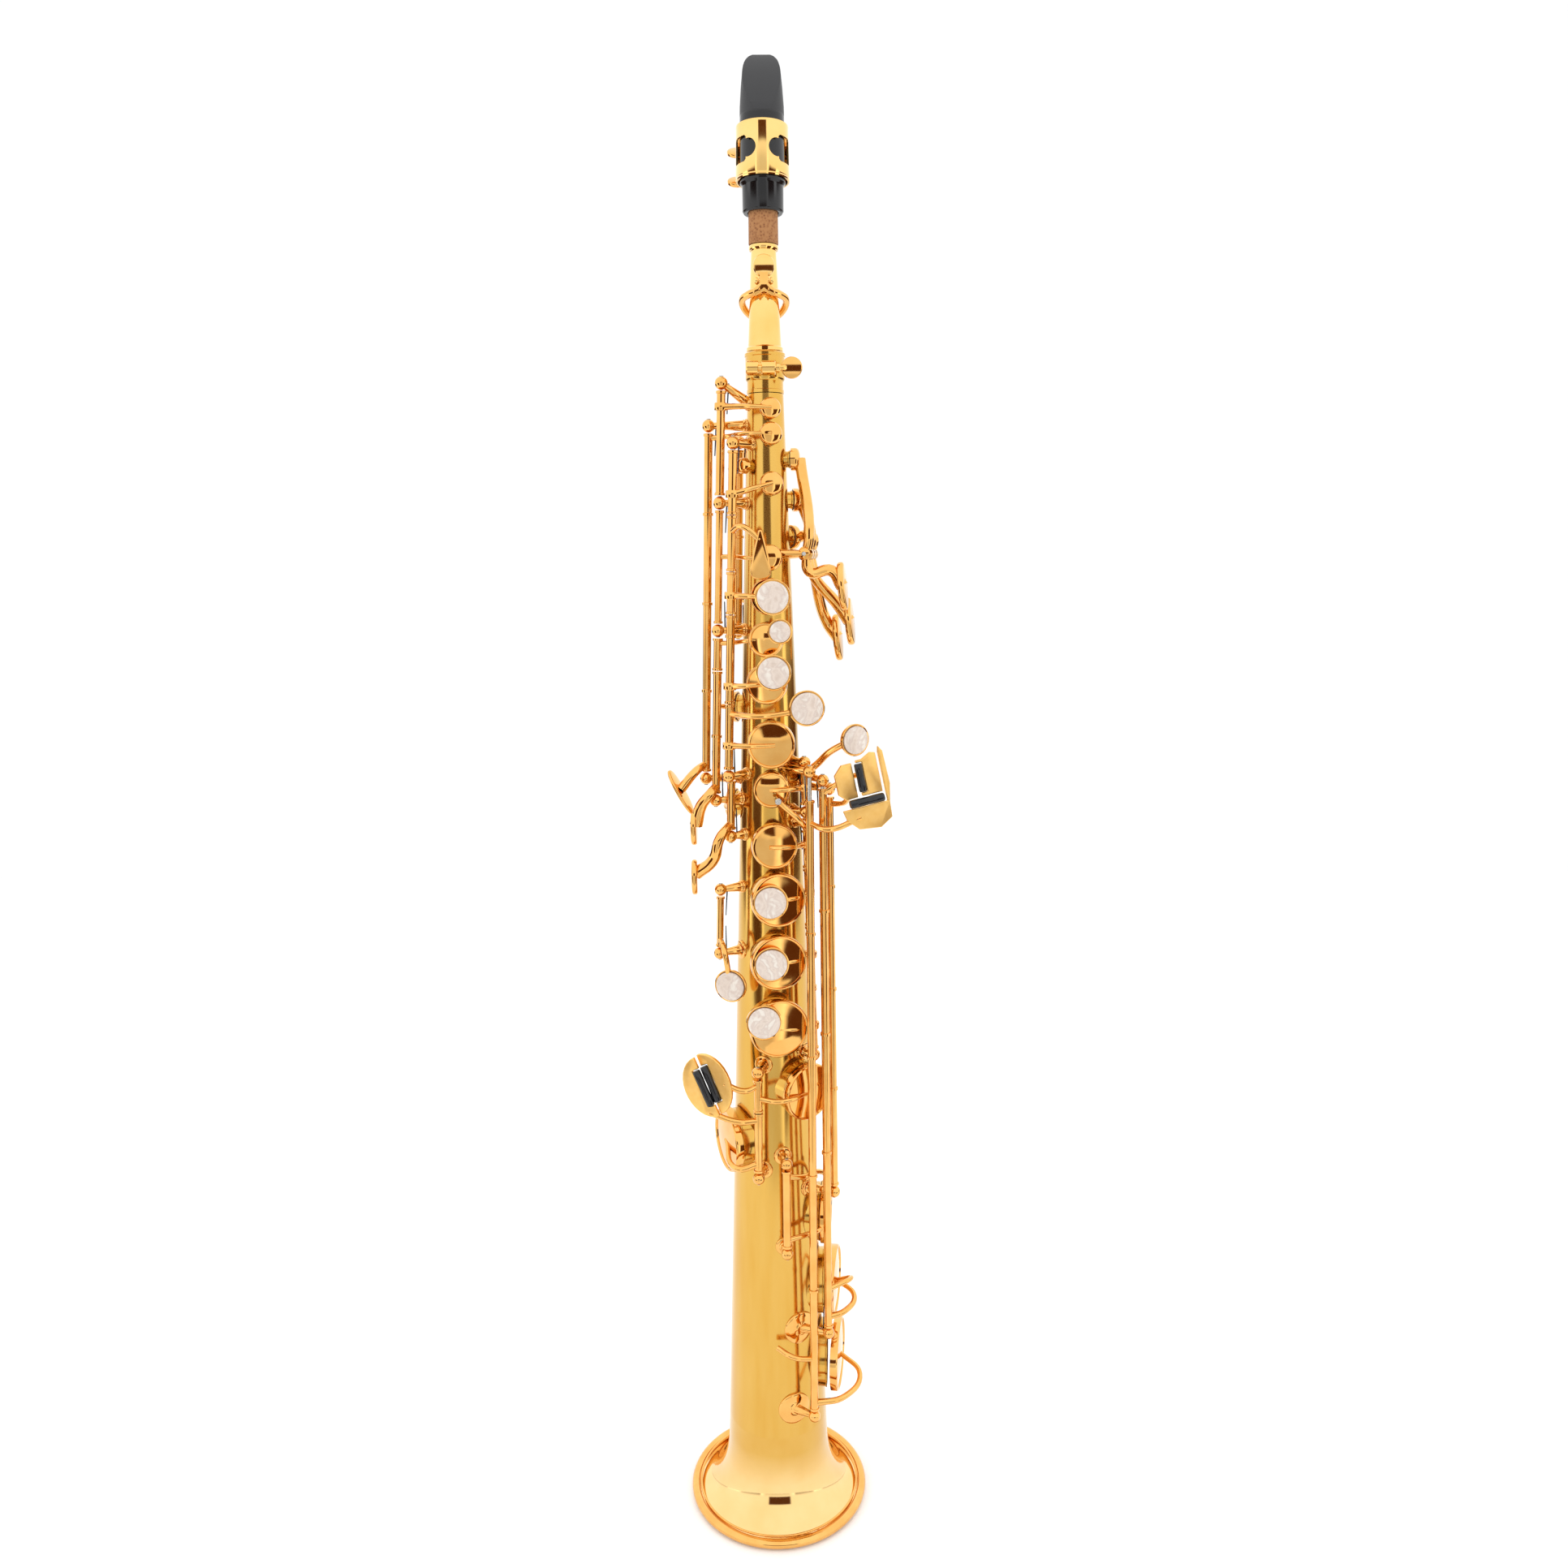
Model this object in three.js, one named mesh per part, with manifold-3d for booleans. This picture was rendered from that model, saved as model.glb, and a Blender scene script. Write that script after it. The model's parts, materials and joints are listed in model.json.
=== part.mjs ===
// Straight soprano saxophone in B flat with a detachable neck.
// Millimetres. +Z runs up the bore axis from the bell rim to the mouthpiece tip.
// The origin is the centre of the bell's rim, in the plane it stands on. -Y is the front, where the
// finger pearls are. An angle is measured round the axis from the front, positive towards +X.
import * as THREE from "three";
import { mergeVertices } from "three/addons/utils/BufferGeometryUtils.js";
import Module from "manifold-3d";

const wasm = await Module();
wasm.setup();

// ---------- driving dimensions ----------
const wall = 0.8; // brass sheet of the tube
const clearance = 0.3; // between pieces that touch or run on each other
const boreTaper = 0.03355; // growth of the outer radius per millimetre of length
const rimConeRadius = 26.56; // outer radius the cone would have at the rim
const bellJoint = 46; // height where the bell is soldered to the body
const bellRadius = 43.4; // to the middle of the rolled rim
const rimWire = 2.2; // radius of the rolled rim
const bodyTop = 551.5; // top of the body tube
const receiverHeight = 17.5;
const neckLength = 62; // from the body tube's top to where the bare cork starts
const corkLength = 37;
const corkRadius = 6.2;
const mouthpieceLength = 65;
const bareCork = 13; // cork that shows below the mouthpiece
const tubeRadius = 1.9; // outside of the hinge tubes
const rodRadius = 1.0; // steel rods inside them
const rodBore = rodRadius + 0.4; // bore of the tubes and of the posts on a rod
const postBall = 2.9;
const postStem = 1.4;
const postFoot = 2.2;
const endGap = 0.35; // between a hinge tube and its neighbour on the same rod
const chimneyWall = 0.8;
const chimneyHeight = 2.0; // tone hole rim above the tube
const cupThickness = 3.8;
const cupOverhang = 2.2; // cup radius beyond the tone hole's bore
const padLift = 0.4; // closed cup above the tone hole rim
const armRadius = 1.2;
const pearlThickness = 1.6;
const pearlSink = 0.8; // depth of the pearl in its holder
const holderWall = 0.7;

const neckTop = bodyTop + neckLength;
const mouthpieceTop = neckTop + bareCork + mouthpieceLength;

// ---------- geometry tools ----------
const radians = THREE.MathUtils.degToRad;
const outerRadius = (z) => rimConeRadius - boreTaper * z;
const vec = (x, y, z) => new THREE.Vector3(x, y, z);
const polar = (z, angle, r) => vec(r * Math.sin(radians(angle)), -r * Math.cos(radians(angle)), z);
const outward = (angle) => polar(0, angle, 1);
const UP = vec(0, 0, 1);

// A closed three.js geometry as a manifold-3d solid, and back.
function solid(geometry) {
  const bare = geometry.index ? geometry.toNonIndexed() : geometry.clone();
  for (const name of Object.keys(bare.attributes)) if (name !== "position") bare.deleteAttribute(name);
  const merged = mergeVertices(bare, 1e-4);
  return new wasm.Manifold(
    new wasm.Mesh({
      numProp: 3,
      vertProperties: merged.attributes.position.array,
      triVerts: new Uint32Array(merged.index.array),
    }),
  );
}

function geometryOf(manifold) {
  const mesh = manifold.getMesh();
  const geometry = new THREE.BufferGeometry();
  geometry.setAttribute("position", new THREE.BufferAttribute(mesh.vertProperties, 3));
  geometry.setIndex(new THREE.BufferAttribute(mesh.triVerts, 1));
  geometry.computeVertexNormals();
  return geometry;
}

const union = (solids) => solids.reduce((sum, next) => sum.add(next));

// Turns a solid's +Z to a direction and moves its origin to a point.
function place(geometry, at, direction) {
  const turn = new THREE.Quaternion().setFromUnitVectors(UP, direction.clone().normalize());
  geometry.applyQuaternion(turn);
  geometry.translate(at.x, at.y, at.z);
  return solid(geometry);
}

// A round bar from a to b, which may taper.
function bar(a, b, radiusA, radiusB = radiusA, sides = 8) {
  const along = b.clone().sub(a);
  const geometry = new THREE.CylinderGeometry(radiusB, radiusA, along.length(), sides);
  geometry.rotateX(Math.PI / 2);
  return place(geometry, a.clone().addScaledVector(along, 0.5), along);
}

const ball = (centre, radius) =>
  solid(new THREE.SphereGeometry(radius, 6, 4).translate(centre.x, centre.y, centre.z));

// A round disc whose lower face is at a point and whose thickness runs along a direction.
function disc(base, direction, radius, thickness, sides = 10) {
  const top = base.clone().addScaledVector(direction, thickness);
  return bar(base, top, radius, radius, sides);
}

// A soldered key arm along a smooth curve through its points.
function arm(points, radius = armRadius, steps = 3, sides = 5) {
  const section = new THREE.Shape();
  for (let i = 0; i < sides; i++) {
    const turn = (2 * Math.PI * i) / sides;
    const [x, y] = [radius * Math.cos(turn), radius * Math.sin(turn)];
    if (i) section.lineTo(x, y);
    else section.moveTo(x, y);
  }
  const path = points.length > 2 ? new THREE.CatmullRomCurve3(points) : new THREE.LineCurve3(...points);
  return solid(new THREE.ExtrudeGeometry(section, { steps: points.length > 2 ? steps : 1, extrudePath: path }));
}

// A flat plate: an outline in the plane through a point, given by its across and along directions.
function plate(centre, across, along, outline, thickness) {
  const shape = new THREE.Shape(outline.map(([x, y]) => new THREE.Vector2(x, y)));
  const geometry = new THREE.ExtrudeGeometry(shape, { depth: thickness, bevelEnabled: false, curveSegments: 4 });
  const normal = across.clone().cross(along).normalize();
  geometry.translate(0, 0, -thickness / 2);
  geometry.applyMatrix4(new THREE.Matrix4().makeBasis(across, along, normal).setPosition(centre));
  return solid(geometry);
}

const ellipse = (rx, ry, sides = 12) =>
  Array.from({ length: sides }, (_, i) => {
    const turn = (2 * Math.PI * i) / sides;
    return [rx * Math.cos(turn), ry * Math.sin(turn)];
  });

// ---------- materials ----------
const finish = (color, roughness, metalness) => new THREE.MeshStandardMaterial({ color, roughness, metalness });
const lacquer = finish(0xe0a94a, 0.18, 1);
const steel = finish(0x9a9a98, 0.3, 1);
const pearlShell = finish(0xece4dc, 0.25, 0);
const ebonite = finish(0x17161a, 0.25, 0);
const corkBark = finish(0xb27f56, 0.85, 0);
const cane = finish(0xd9bf7a, 0.6, 0);
const blackPlastic = finish(0x101012, 0.3, 0);

const saxophone = new THREE.Group();
function add(name, manifold, material, hinge = null) {
  const mesh = new THREE.Mesh(geometryOf(manifold), material);
  mesh.name = name;
  if (hinge) mesh.userData.hinge = hinge;
  saxophone.add(mesh);
  return mesh;
}

// ---------- tone holes: height, angle and bore radius ----------
const holes = {
  highFSharp: { z: 544.5, angle: 10, bore: 2.4 },
  highE: { z: 533.8, angle: 10, bore: 2.8 },
  palmF: { z: 523.5, angle: 82, bore: 2.8 },
  octavePip: { z: 520.5, angle: -52, bore: 1.3, rise: 2.2 },
  highF: { z: 512.5, angle: 10, bore: 3.0 },
  palmEFlat: { z: 506, angle: 100, bore: 3.0 },
  palmD: { z: 489.5, angle: 124, bore: 3.4 },
  highC: { z: 480.4, angle: 6, bore: 3.6 },
  b: { z: 463.5, angle: 3, bore: 6.0 },
  bis: { z: 444.5, angle: 0, bore: 5.6 },
  a: { z: 424.8, angle: -2, bore: 7.0 },
  sideC: { z: 412, angle: -104, bore: 5.0 },
  g: { z: 397.4, angle: 4, bore: 8.6 },
  gSharp: { z: 376.4, angle: 2, bore: 6.2 },
  sideBFlat: { z: 366, angle: -104, bore: 5.0 },
  fSharp: { z: 350.6, angle: 2, bore: 8.4 },
  f: { z: 325.2, angle: 6, bore: 10.6 },
  e: { z: 295.4, angle: 5, bore: 11.0 },
  d: { z: 263.6, angle: 4, bore: 11.8 },
  lowC: { z: 229.5, angle: 42, bore: 11.6 },
  eFlat: { z: 200.5, angle: -68, bore: 13.6 },
  lowCSharp: { z: 158, angle: 82, bore: 13.2 },
  lowB: { z: 119, angle: 86, bore: 15.0 },
  lowBFlat: { z: 78, angle: 86, bore: 15.6 },
};
for (const hole of Object.values(holes)) {
  hole.out = outward(hole.angle);
  hole.rim = outerRadius(hole.z) + (hole.rise ?? chimneyHeight);
  hole.sides = hole.bore > 7 ? 12 : 7;
}

// ---------- hinge lines: two ends above the tube, which posts hold ----------
// Each post is a height on the line, or a height with the angle, and the height, where its stem meets the tube.
function hingeLine(top, bottom, posts, rod = false) {
  const a = polar(top.z, top.angle, outerRadius(top.z) + top.stand);
  const b = polar(bottom.z, bottom.angle, outerRadius(bottom.z) + bottom.stand);
  const axis = a.clone().sub(b).normalize();
  const at = (z) => b.clone().lerp(a, (z - b.z) / (a.z - b.z));
  return { axis, at, posts, rod, top: a, bottom: b };
}
const lines = {
  highE: hingeLine({ z: 538.4, angle: -90, stand: 17 }, { z: 379, angle: -88, stand: 16.2 }, [538.4, 379]),
  upperLeft: hingeLine({ z: 555.6, angle: -68, stand: 12.8 }, { z: 370, angle: -70, stand: 12.8 },
    [[555.6, -68, 547.2], 504.5, 448.2, 370]),
  leftStack: hingeLine({ z: 529.9, angle: -48, stand: 10.6 }, { z: 382.3, angle: -51, stand: 10.6 },
    [529.9, 382.3], true),
  sideBFlat: hingeLine({ z: 380, angle: -56, stand: 7.8 }, { z: 353.5, angle: -56, stand: 7.8 }, [353.5]),
  gSharp: hingeLine({ z: 388.5, angle: 44, stand: 9 }, { z: 365.5, angle: 44, stand: 9 }, [388.5, 365.5]),
  rightStack: hingeLine({ z: 359.5, angle: 52, stand: 6.4 }, { z: 246.5, angle: 52, stand: 6.4 },
    [359.5, 246.5], true),
  lowBFlat: hingeLine({ z: 385.6, angle: 36, stand: 16.4 }, { z: 61.8, angle: 32, stand: 9.6 },
    [[385.6, 30], [61.8, 20]], true),
  lowB: hingeLine({ z: 381, angle: 48, stand: 18.2 }, { z: 104.5, angle: 46, stand: 12.2 },
    [[381, 90], [104.5, 30]], true),
  lowCSharp: hingeLine({ z: 376, angle: 60, stand: 17.2 }, { z: 176.6, angle: 58, stand: 13.2 },
    [[376, 76], [176.6, 50]]),
  rightPinky: hingeLine({ z: 242.8, angle: -15.5, stand: 9.8 }, { z: 189.6, angle: -15.5, stand: 9.0 },
    [242.8, 189.6]),
  lowCSharpCup: hingeLine({ z: 196.8, angle: 11, stand: 8.6 }, { z: 149.8, angle: 11, stand: 7.0 },
    [196.8, 149.8]),
  highFSharpLever: hingeLine({ z: 328, angle: -63, stand: 11.2 }, { z: 297, angle: -63, stand: 11.2 }, [328, 297]),
  octave: hingeLine({ z: 532, angle: -128, stand: 6.5 }, { z: 446, angle: -128, stand: 6.5 }, [532, 446]),
};

// A ball post, soldered to the tube below the hinge line and bored where a rod passes through.
function post(line, place) {
  const [z, footAngle, footZ = z] = Array.isArray(place) ? place : [place];
  const centre = line.at(z);
  const out = footAngle === undefined ? centre.clone().setZ(0).normalize() : outward(footAngle);
  const foot = out.clone().multiplyScalar(outerRadius(footZ) - wall / 2).setZ(footZ);
  const made = ball(centre, postBall).add(bar(foot, centre, postFoot, postStem, 5));
  if (!line.rod) return made;
  const reach = line.axis.clone().multiplyScalar(postBall + 1);
  return made.subtract(bar(centre.clone().sub(reach), centre.clone().add(reach), rodBore, rodBore, 5));
}

// ---------- body tube and bell ----------
const lathe = (points, sides) =>
  solid(new THREE.LatheGeometry(points.map(([r, z]) => new THREE.Vector2(r, z)), sides).rotateX(Math.PI / 2));

// A solid cone between two heights that lies a little inside the tube's outer surface.
const cone = (z0, z1, inset = 0, sides = 24) =>
  lathe([[0, z0], [outerRadius(z0) - inset, z0], [outerRadius(z1) - inset, z1], [0, z1]], sides);

function chimney(hole) {
  const from = hole.out.clone().multiplyScalar(outerRadius(hole.z) * 0.55).setZ(hole.z);
  const to = hole.out.clone().multiplyScalar(hole.rim).setZ(hole.z);
  return bar(from, to, hole.bore + chimneyWall, hole.bore + chimneyWall, hole.sides);
}
function toneBore(hole) {
  const from = hole.out.clone().multiplyScalar(outerRadius(hole.z) * 0.3).setZ(hole.z);
  const to = hole.out.clone().multiplyScalar(hole.rim + 1).setZ(hole.z);
  return bar(from, to, hole.bore, hole.bore, hole.sides);
}
const strapRing = { z: 352, tube: 1.3, radius: 5.2 };
function strapLoop() {
  const centre = polar(strapRing.z, 180, outerRadius(strapRing.z) + strapRing.radius + 1);
  const loop = new THREE.TorusGeometry(strapRing.radius, strapRing.tube, 5, 12).rotateY(Math.PI / 2);
  const foot = polar(strapRing.z, 180, outerRadius(strapRing.z) + clearance);
  const head = polar(strapRing.z, 180, outerRadius(strapRing.z) + 2);
  return solid(loop.translate(centre.x, centre.y, centre.z)).add(bar(foot, head, 3, 2, 8)).subtract(cone(strapRing.z - 10, strapRing.z + 10, -clearance));
}

const palmSaddle = { z: 482, angle: 76, stand: 8.6, half: 8.6 };
const palmOut = outward(palmSaddle.angle);
const palmAcross = outward(palmSaddle.angle + 90);
const palmPivot = polar(palmSaddle.z, palmSaddle.angle, outerRadius(palmSaddle.z) + palmSaddle.stand);
const palmAlong = (offset, out, z) =>
  palmPivot.clone().addScaledVector(palmAcross, offset).addScaledVector(palmOut, out).setZ(palmSaddle.z + z);
function palmEar(offset) {
  const head = palmAlong(offset, 0, 0);
  const foot = palmAlong(offset * 0.85, -palmSaddle.stand - 2.4, 0);
  return bar(foot, head, 2.2, 1.0, 6).add(
    disc(palmAlong(offset - 0.9, 0, 0), palmAcross, 2.6, 1.8, 10),
  ).subtract(disc(palmAlong(offset - 2, 0, 0), palmAcross, rodBore, 4, 8));
}

function bodyTube() {
  const posts = Object.values(lines).flatMap((line) => line.posts.map((place) => post(line, place)));
  const outside = union([cone(bellJoint + clearance, bodyTop), ...Object.values(holes).map(chimney), ...posts,
    palmEar(-palmSaddle.half), palmEar(palmSaddle.half)]);
  return outside.subtract(union([cone(0, bodyTop + 2, wall), ...Object.values(holes).map(toneBore)]));
}
add("body_tube", bodyTube(), lacquer);
add("strap_ring", strapLoop(), lacquer);

// The bell: the cone's last stretch, a flare and a rolled rim.
const flareStart = 34; // height where the cone starts to open
const flareSteps = 4;
const flareTop = [outerRadius(flareStart), flareStart];
const flare = (offset) =>
  Array.from({ length: flareSteps + 1 }, (_, i) => {
    const turn = (Math.PI / 2) * (i / flareSteps);
    const r = flareTop[0] + (bellRadius - flareTop[0]) * (1 - Math.cos(turn));
    const z = flareStart - (flareStart - rimWire) * Math.sin(turn);
    return [r - offset * Math.cos(turn * 0.9), z - offset * Math.sin(turn * 0.9)];
  });
const rolledRim = lathe(
  Array.from({ length: 9 }, (_, i) => {
    const turn = (Math.PI * (i + 0.5)) / 4; // a flat of the wire's outline lies on the floor
    const r = rimWire / Math.cos(Math.PI / 8);
    return [bellRadius + r * Math.cos(turn), rimWire + r * Math.sin(turn)];
  }),
  24,
);
const bellShell = lathe([
  [outerRadius(bellJoint) - wall, bellJoint],
  ...flare(wall),
  ...flare(0).reverse(),
  [outerRadius(bellJoint), bellJoint],
  [outerRadius(bellJoint) - wall, bellJoint],
], 24);
add("bell", bellShell.add(rolledRim), lacquer);

// ---------- neck receiver and its clamp screw ----------
const receiverBottom = bodyTop + clearance;
const receiverTop = receiverBottom + receiverHeight;
const tenonRadius = 6.6;
const receiverBore = tenonRadius + clearance;
const receiverWall = 1.4;
const lugReach = receiverBore + 4.3;
const lugHeight = receiverBottom + 9.5;
const slotWidth = 1.2;
const clampAxis = outward(0).clone().multiplyScalar(lugReach).setZ(lugHeight);
function receiver() {
  const ring = lathe([
    [receiverBore, receiverBottom],
    [receiverBore + receiverWall - 0.3, receiverBottom],
    [receiverBore + receiverWall - 0.3, receiverBottom + 5],
    [receiverBore + receiverWall + 0.4, receiverBottom + 6],
    [receiverBore + receiverWall + 0.4, receiverTop - 1.2],
    [receiverBore + receiverWall - 0.4, receiverTop],
    [receiverBore, receiverTop],
    [receiverBore, receiverBottom],
  ], 18);
  const lugs = bar(clampAxis.clone().setX(-8.2), clampAxis.clone().setX(4.6), 3.1, 3.1, 12);
  const web = solid(new THREE.BoxGeometry(11, 5, 5).translate(-1.6, -receiverBore - 2.6, lugHeight));
  const slot = solid(new THREE.BoxGeometry(slotWidth, 14, receiverHeight).translate(-2.2, -9.6, receiverTop - 5));
  const screwHole = bar(clampAxis.clone().setX(-6.6), clampAxis.clone().setX(9), 1.5, 1.5, 8);
  const boreCore = bar(vec(0, 0, receiverBottom - 1), vec(0, 0, receiverTop + 1), receiverBore, receiverBore, 18);
  return ring.add(lugs).add(web).subtract(slot).subtract(screwHole).subtract(boreCore);
}
add("neck_receiver", receiver(), lacquer);

const thumbscrewHead = 4.6;
function neckScrew() {
  const shank = bar(clampAxis.clone().setX(-6), clampAxis.clone().setX(9), 1.2, 1.2, 8);
  const collar = bar(clampAxis.clone().setX(4.9), clampAxis.clone().setX(6.2), 2.2, 2.2, 10);
  const paddle = plate(clampAxis.clone().setX(11.6), vec(1, 0, 0), UP, ellipse(thumbscrewHead, thumbscrewHead, 14), 1.8);
  return shank.add(collar).add(paddle);
}
add("neck_screw", neckScrew(), lacquer, { point: clampAxis.clone(), axis: vec(1, 0, 0) });

// ---------- neck, cork and neck octave key ----------
const neckCollarRadius = tenonRadius + 1.5;
const neckFoot = receiverTop + clearance;
const neckBoreTop = 4.4;
const neckTopRadius = 5.4;
const neckBaseRadius = tenonRadius + 0.7;
const tenonLength = 15;
const neckRadiusAt = (z) =>
  neckBaseRadius + ((neckTopRadius - neckBaseRadius) * (z - neckFoot)) / (neckTop - neckFoot);
const corkTop = neckTop + corkLength;
const octaveVent = { z: neckTop - 10, rise: 2.0, radius: 1.9 };
const neckPivot = { z: octaveVent.z - 6.1, half: 2.4 }; // the pin of the octave key's saddle, in front of the neck
const neckPivotY = -neckRadiusAt(neckPivot.z) - 2.9;
function neckTube() {
  const shell = lathe([
    [tenonRadius - wall, neckFoot - tenonLength],
    [tenonRadius, neckFoot - tenonLength],
    [tenonRadius, neckFoot],
    [neckCollarRadius, neckFoot],
    [neckCollarRadius, neckFoot + 1.6],
    [neckBaseRadius, neckFoot + 3.4],
    [neckTopRadius, neckTop],
    [neckTopRadius - 0.2, corkTop],
    [neckBoreTop, corkTop],
    [neckBoreTop, neckTop],
    [tenonRadius - wall, neckFoot - tenonLength],
  ], 18);
  const pipTop = polar(octaveVent.z, 0, neckRadiusAt(octaveVent.z) + octaveVent.rise);
  const pipFoot = polar(octaveVent.z, 0, neckRadiusAt(octaveVent.z) - wall / 2);
  const pipHole = bar(polar(octaveVent.z, 0, 1), pipTop.clone().setY(pipTop.y - 1), 0.8, 0.8, 6);
  const ear = (side) => {
    const x = side * (neckPivot.half + clearance + 0.6);
    const foot = vec(x, neckPivotY + 4.2, neckPivot.z);
    return bar(foot, vec(x, neckPivotY, neckPivot.z), 0.7, 0.6, 6).add(disc(vec(x - 0.6, neckPivotY, neckPivot.z), vec(1, 0, 0), 1.4, 1.2, 8));
  };
  return shell.add(bar(pipFoot, pipTop, octaveVent.radius, octaveVent.radius, 8)).add(ear(1)).add(ear(-1))
    .subtract(pipHole);
}
add("neck_tube", neckTube(), lacquer);

const corkFoot = neckTop + clearance;
const corkSleeve = lathe([
  [neckTopRadius + clearance, corkFoot],
  [corkRadius + 0.25, corkFoot],
  [corkRadius, corkTop - 2],
  [corkRadius - 0.4, corkTop],
  [neckTopRadius + clearance - 0.2, corkTop],
  [neckTopRadius + clearance, corkFoot],
], 16);
add("neck_cork", corkSleeve, corkBark);

// A loop round the neck: the vent's cup and the saddle's pin in front, the ring's end behind.
function neckOctaveKey() {
  const front = neckRadiusAt(octaveVent.z) + octaveVent.rise + padLift;
  const cup = disc(polar(octaveVent.z, 0, front), outward(0), 4.0, 2.2, 12);
  const tongueAt = polar(octaveVent.z - 5.4, 0, front + 1.2);
  const tongue = plate(tongueAt, vec(1, 0, 0), UP, [[-2.2, -5.4], [2.2, -5.4], [2, 4], [-2, 4]], 1.8);
  const side = (s) =>
    arm([
      polar(octaveVent.z - 9.8, 6 * s, front + 1.2),
      polar(octaveVent.z - 11, 52 * s, front + 0.6),
      polar(octaveVent.z - 12.5, 90 * s, front + 1.4),
      polar(octaveVent.z - 16.5, 132 * s, front + 1.4),
      polar(octaveVent.z - 18.5, 178 * s, front + 4.6),
    ], 1.1, 8);
  const barrel = bar(vec(-neckPivot.half, neckPivotY, neckPivot.z), vec(neckPivot.half, neckPivotY, neckPivot.z), 1.2, 1.2, 8);
  return union([cup, tongue, side(1), side(-1), barrel]);
}
add("neck_octave_key", neckOctaveKey(), lacquer, { point: vec(0, neckPivotY, neckPivot.z), axis: vec(1, 0, 0) });

// ---------- mouthpiece, reed and ligature ----------
const shankRadius = corkRadius + 2.7;
const shankLength = 12.4;
const mouthBodyRadius = 9.9;
const mouthTopRadius = 9.5;
const mouthFoot = mouthpieceTop - mouthpieceLength;
const beakStart = mouthpieceTop - 26.5; // height where the beak's slope starts
const beakTipHalf = 0.8; // half thickness of the tip
const tableDepth = 7.6; // distance of the reed's flat table behind the axis
const tableFoot = mouthFoot + 11; // lower end of the reed's flat table
const facingStart = mouthpieceTop - 20;
const tipOpening = 1.1;
const corkHold = corkRadius + 0.25 + clearance;
const socketTop = corkTop + 2.5;
function mouthpiece() {
  const blank = lathe([
    [0, mouthFoot],
    [shankRadius - 0.6, mouthFoot],
    [shankRadius, mouthFoot + 1],
    [shankRadius, mouthFoot + shankLength - 1.5],
    [mouthBodyRadius, mouthFoot + shankLength],
    [mouthTopRadius, beakStart],
    [mouthTopRadius - 0.6, mouthpieceTop - 12],
    [mouthTopRadius - 2, mouthpieceTop - 4],
    [mouthTopRadius - 3.6, mouthpieceTop],
    [0, mouthpieceTop],
  ], 20);
  // Side profile of what is left of the blank: a sloping beak in front, the reed's table behind.
  const side = new THREE.Shape();
  side.moveTo(-12, mouthFoot - 1);
  side.lineTo(-12, beakStart);
  side.lineTo(-mouthTopRadius - 0.2, beakStart);
  side.quadraticCurveTo(-3.4, mouthpieceTop - 11, tableDepth - tipOpening - 2 * beakTipHalf, mouthpieceTop);
  side.lineTo(tableDepth - tipOpening, mouthpieceTop);
  side.quadraticCurveTo(tableDepth, facingStart + 9, tableDepth, facingStart);
  side.lineTo(tableDepth, tableFoot);
  side.lineTo(12, tableFoot);
  side.lineTo(12, mouthFoot - 1);
  const slab = new THREE.ExtrudeGeometry(side, { depth: 30, bevelEnabled: false, curveSegments: 6 });
  slab.translate(0, 0, -15);
  slab.applyMatrix4(new THREE.Matrix4().makeBasis(vec(0, 1, 0), UP, vec(1, 0, 0)));
  const socket = bar(vec(0, 0, mouthFoot - 1), vec(0, 0, socketTop), corkHold, corkHold, 14);
  const chamber = bar(vec(0, 0, socketTop - 1), vec(0, 1.6, mouthpieceTop - 20), 4.6, 4.2, 8);
  const window = solid(
    new THREE.BoxGeometry(9, 9, 24).rotateX(-0.2).translate(0, tableDepth, mouthpieceTop - 14.6),
  );
  return blank.intersect(solid(slab)).subtract(socket).subtract(chamber).subtract(window);
}
add("mouthpiece", mouthpiece(), ebonite);

const reedWidth = 12.4;
const reedThickness = 2.9;
const reedFoot = tableFoot + clearance;
function reed() {
  const y0 = tableDepth + clearance;
  const side = new THREE.Shape();
  side.moveTo(y0, mouthpieceTop - 0.4);
  side.lineTo(y0 + 0.35, mouthpieceTop - 0.4);
  side.lineTo(y0 + reedThickness, mouthpieceTop - 25);
  side.lineTo(y0 + reedThickness, reedFoot + 2.6);
  side.lineTo(y0 + reedThickness * 0.8, reedFoot);
  side.lineTo(y0, reedFoot);
  const slab = new THREE.ExtrudeGeometry(side, { depth: reedWidth, bevelEnabled: false });
  slab.translate(0, 0, -reedWidth / 2);
  slab.applyMatrix4(new THREE.Matrix4().makeBasis(vec(0, 1, 0), UP, vec(1, 0, 0)));
  return solid(slab);
}
add("reed", reed(), cane);

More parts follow.
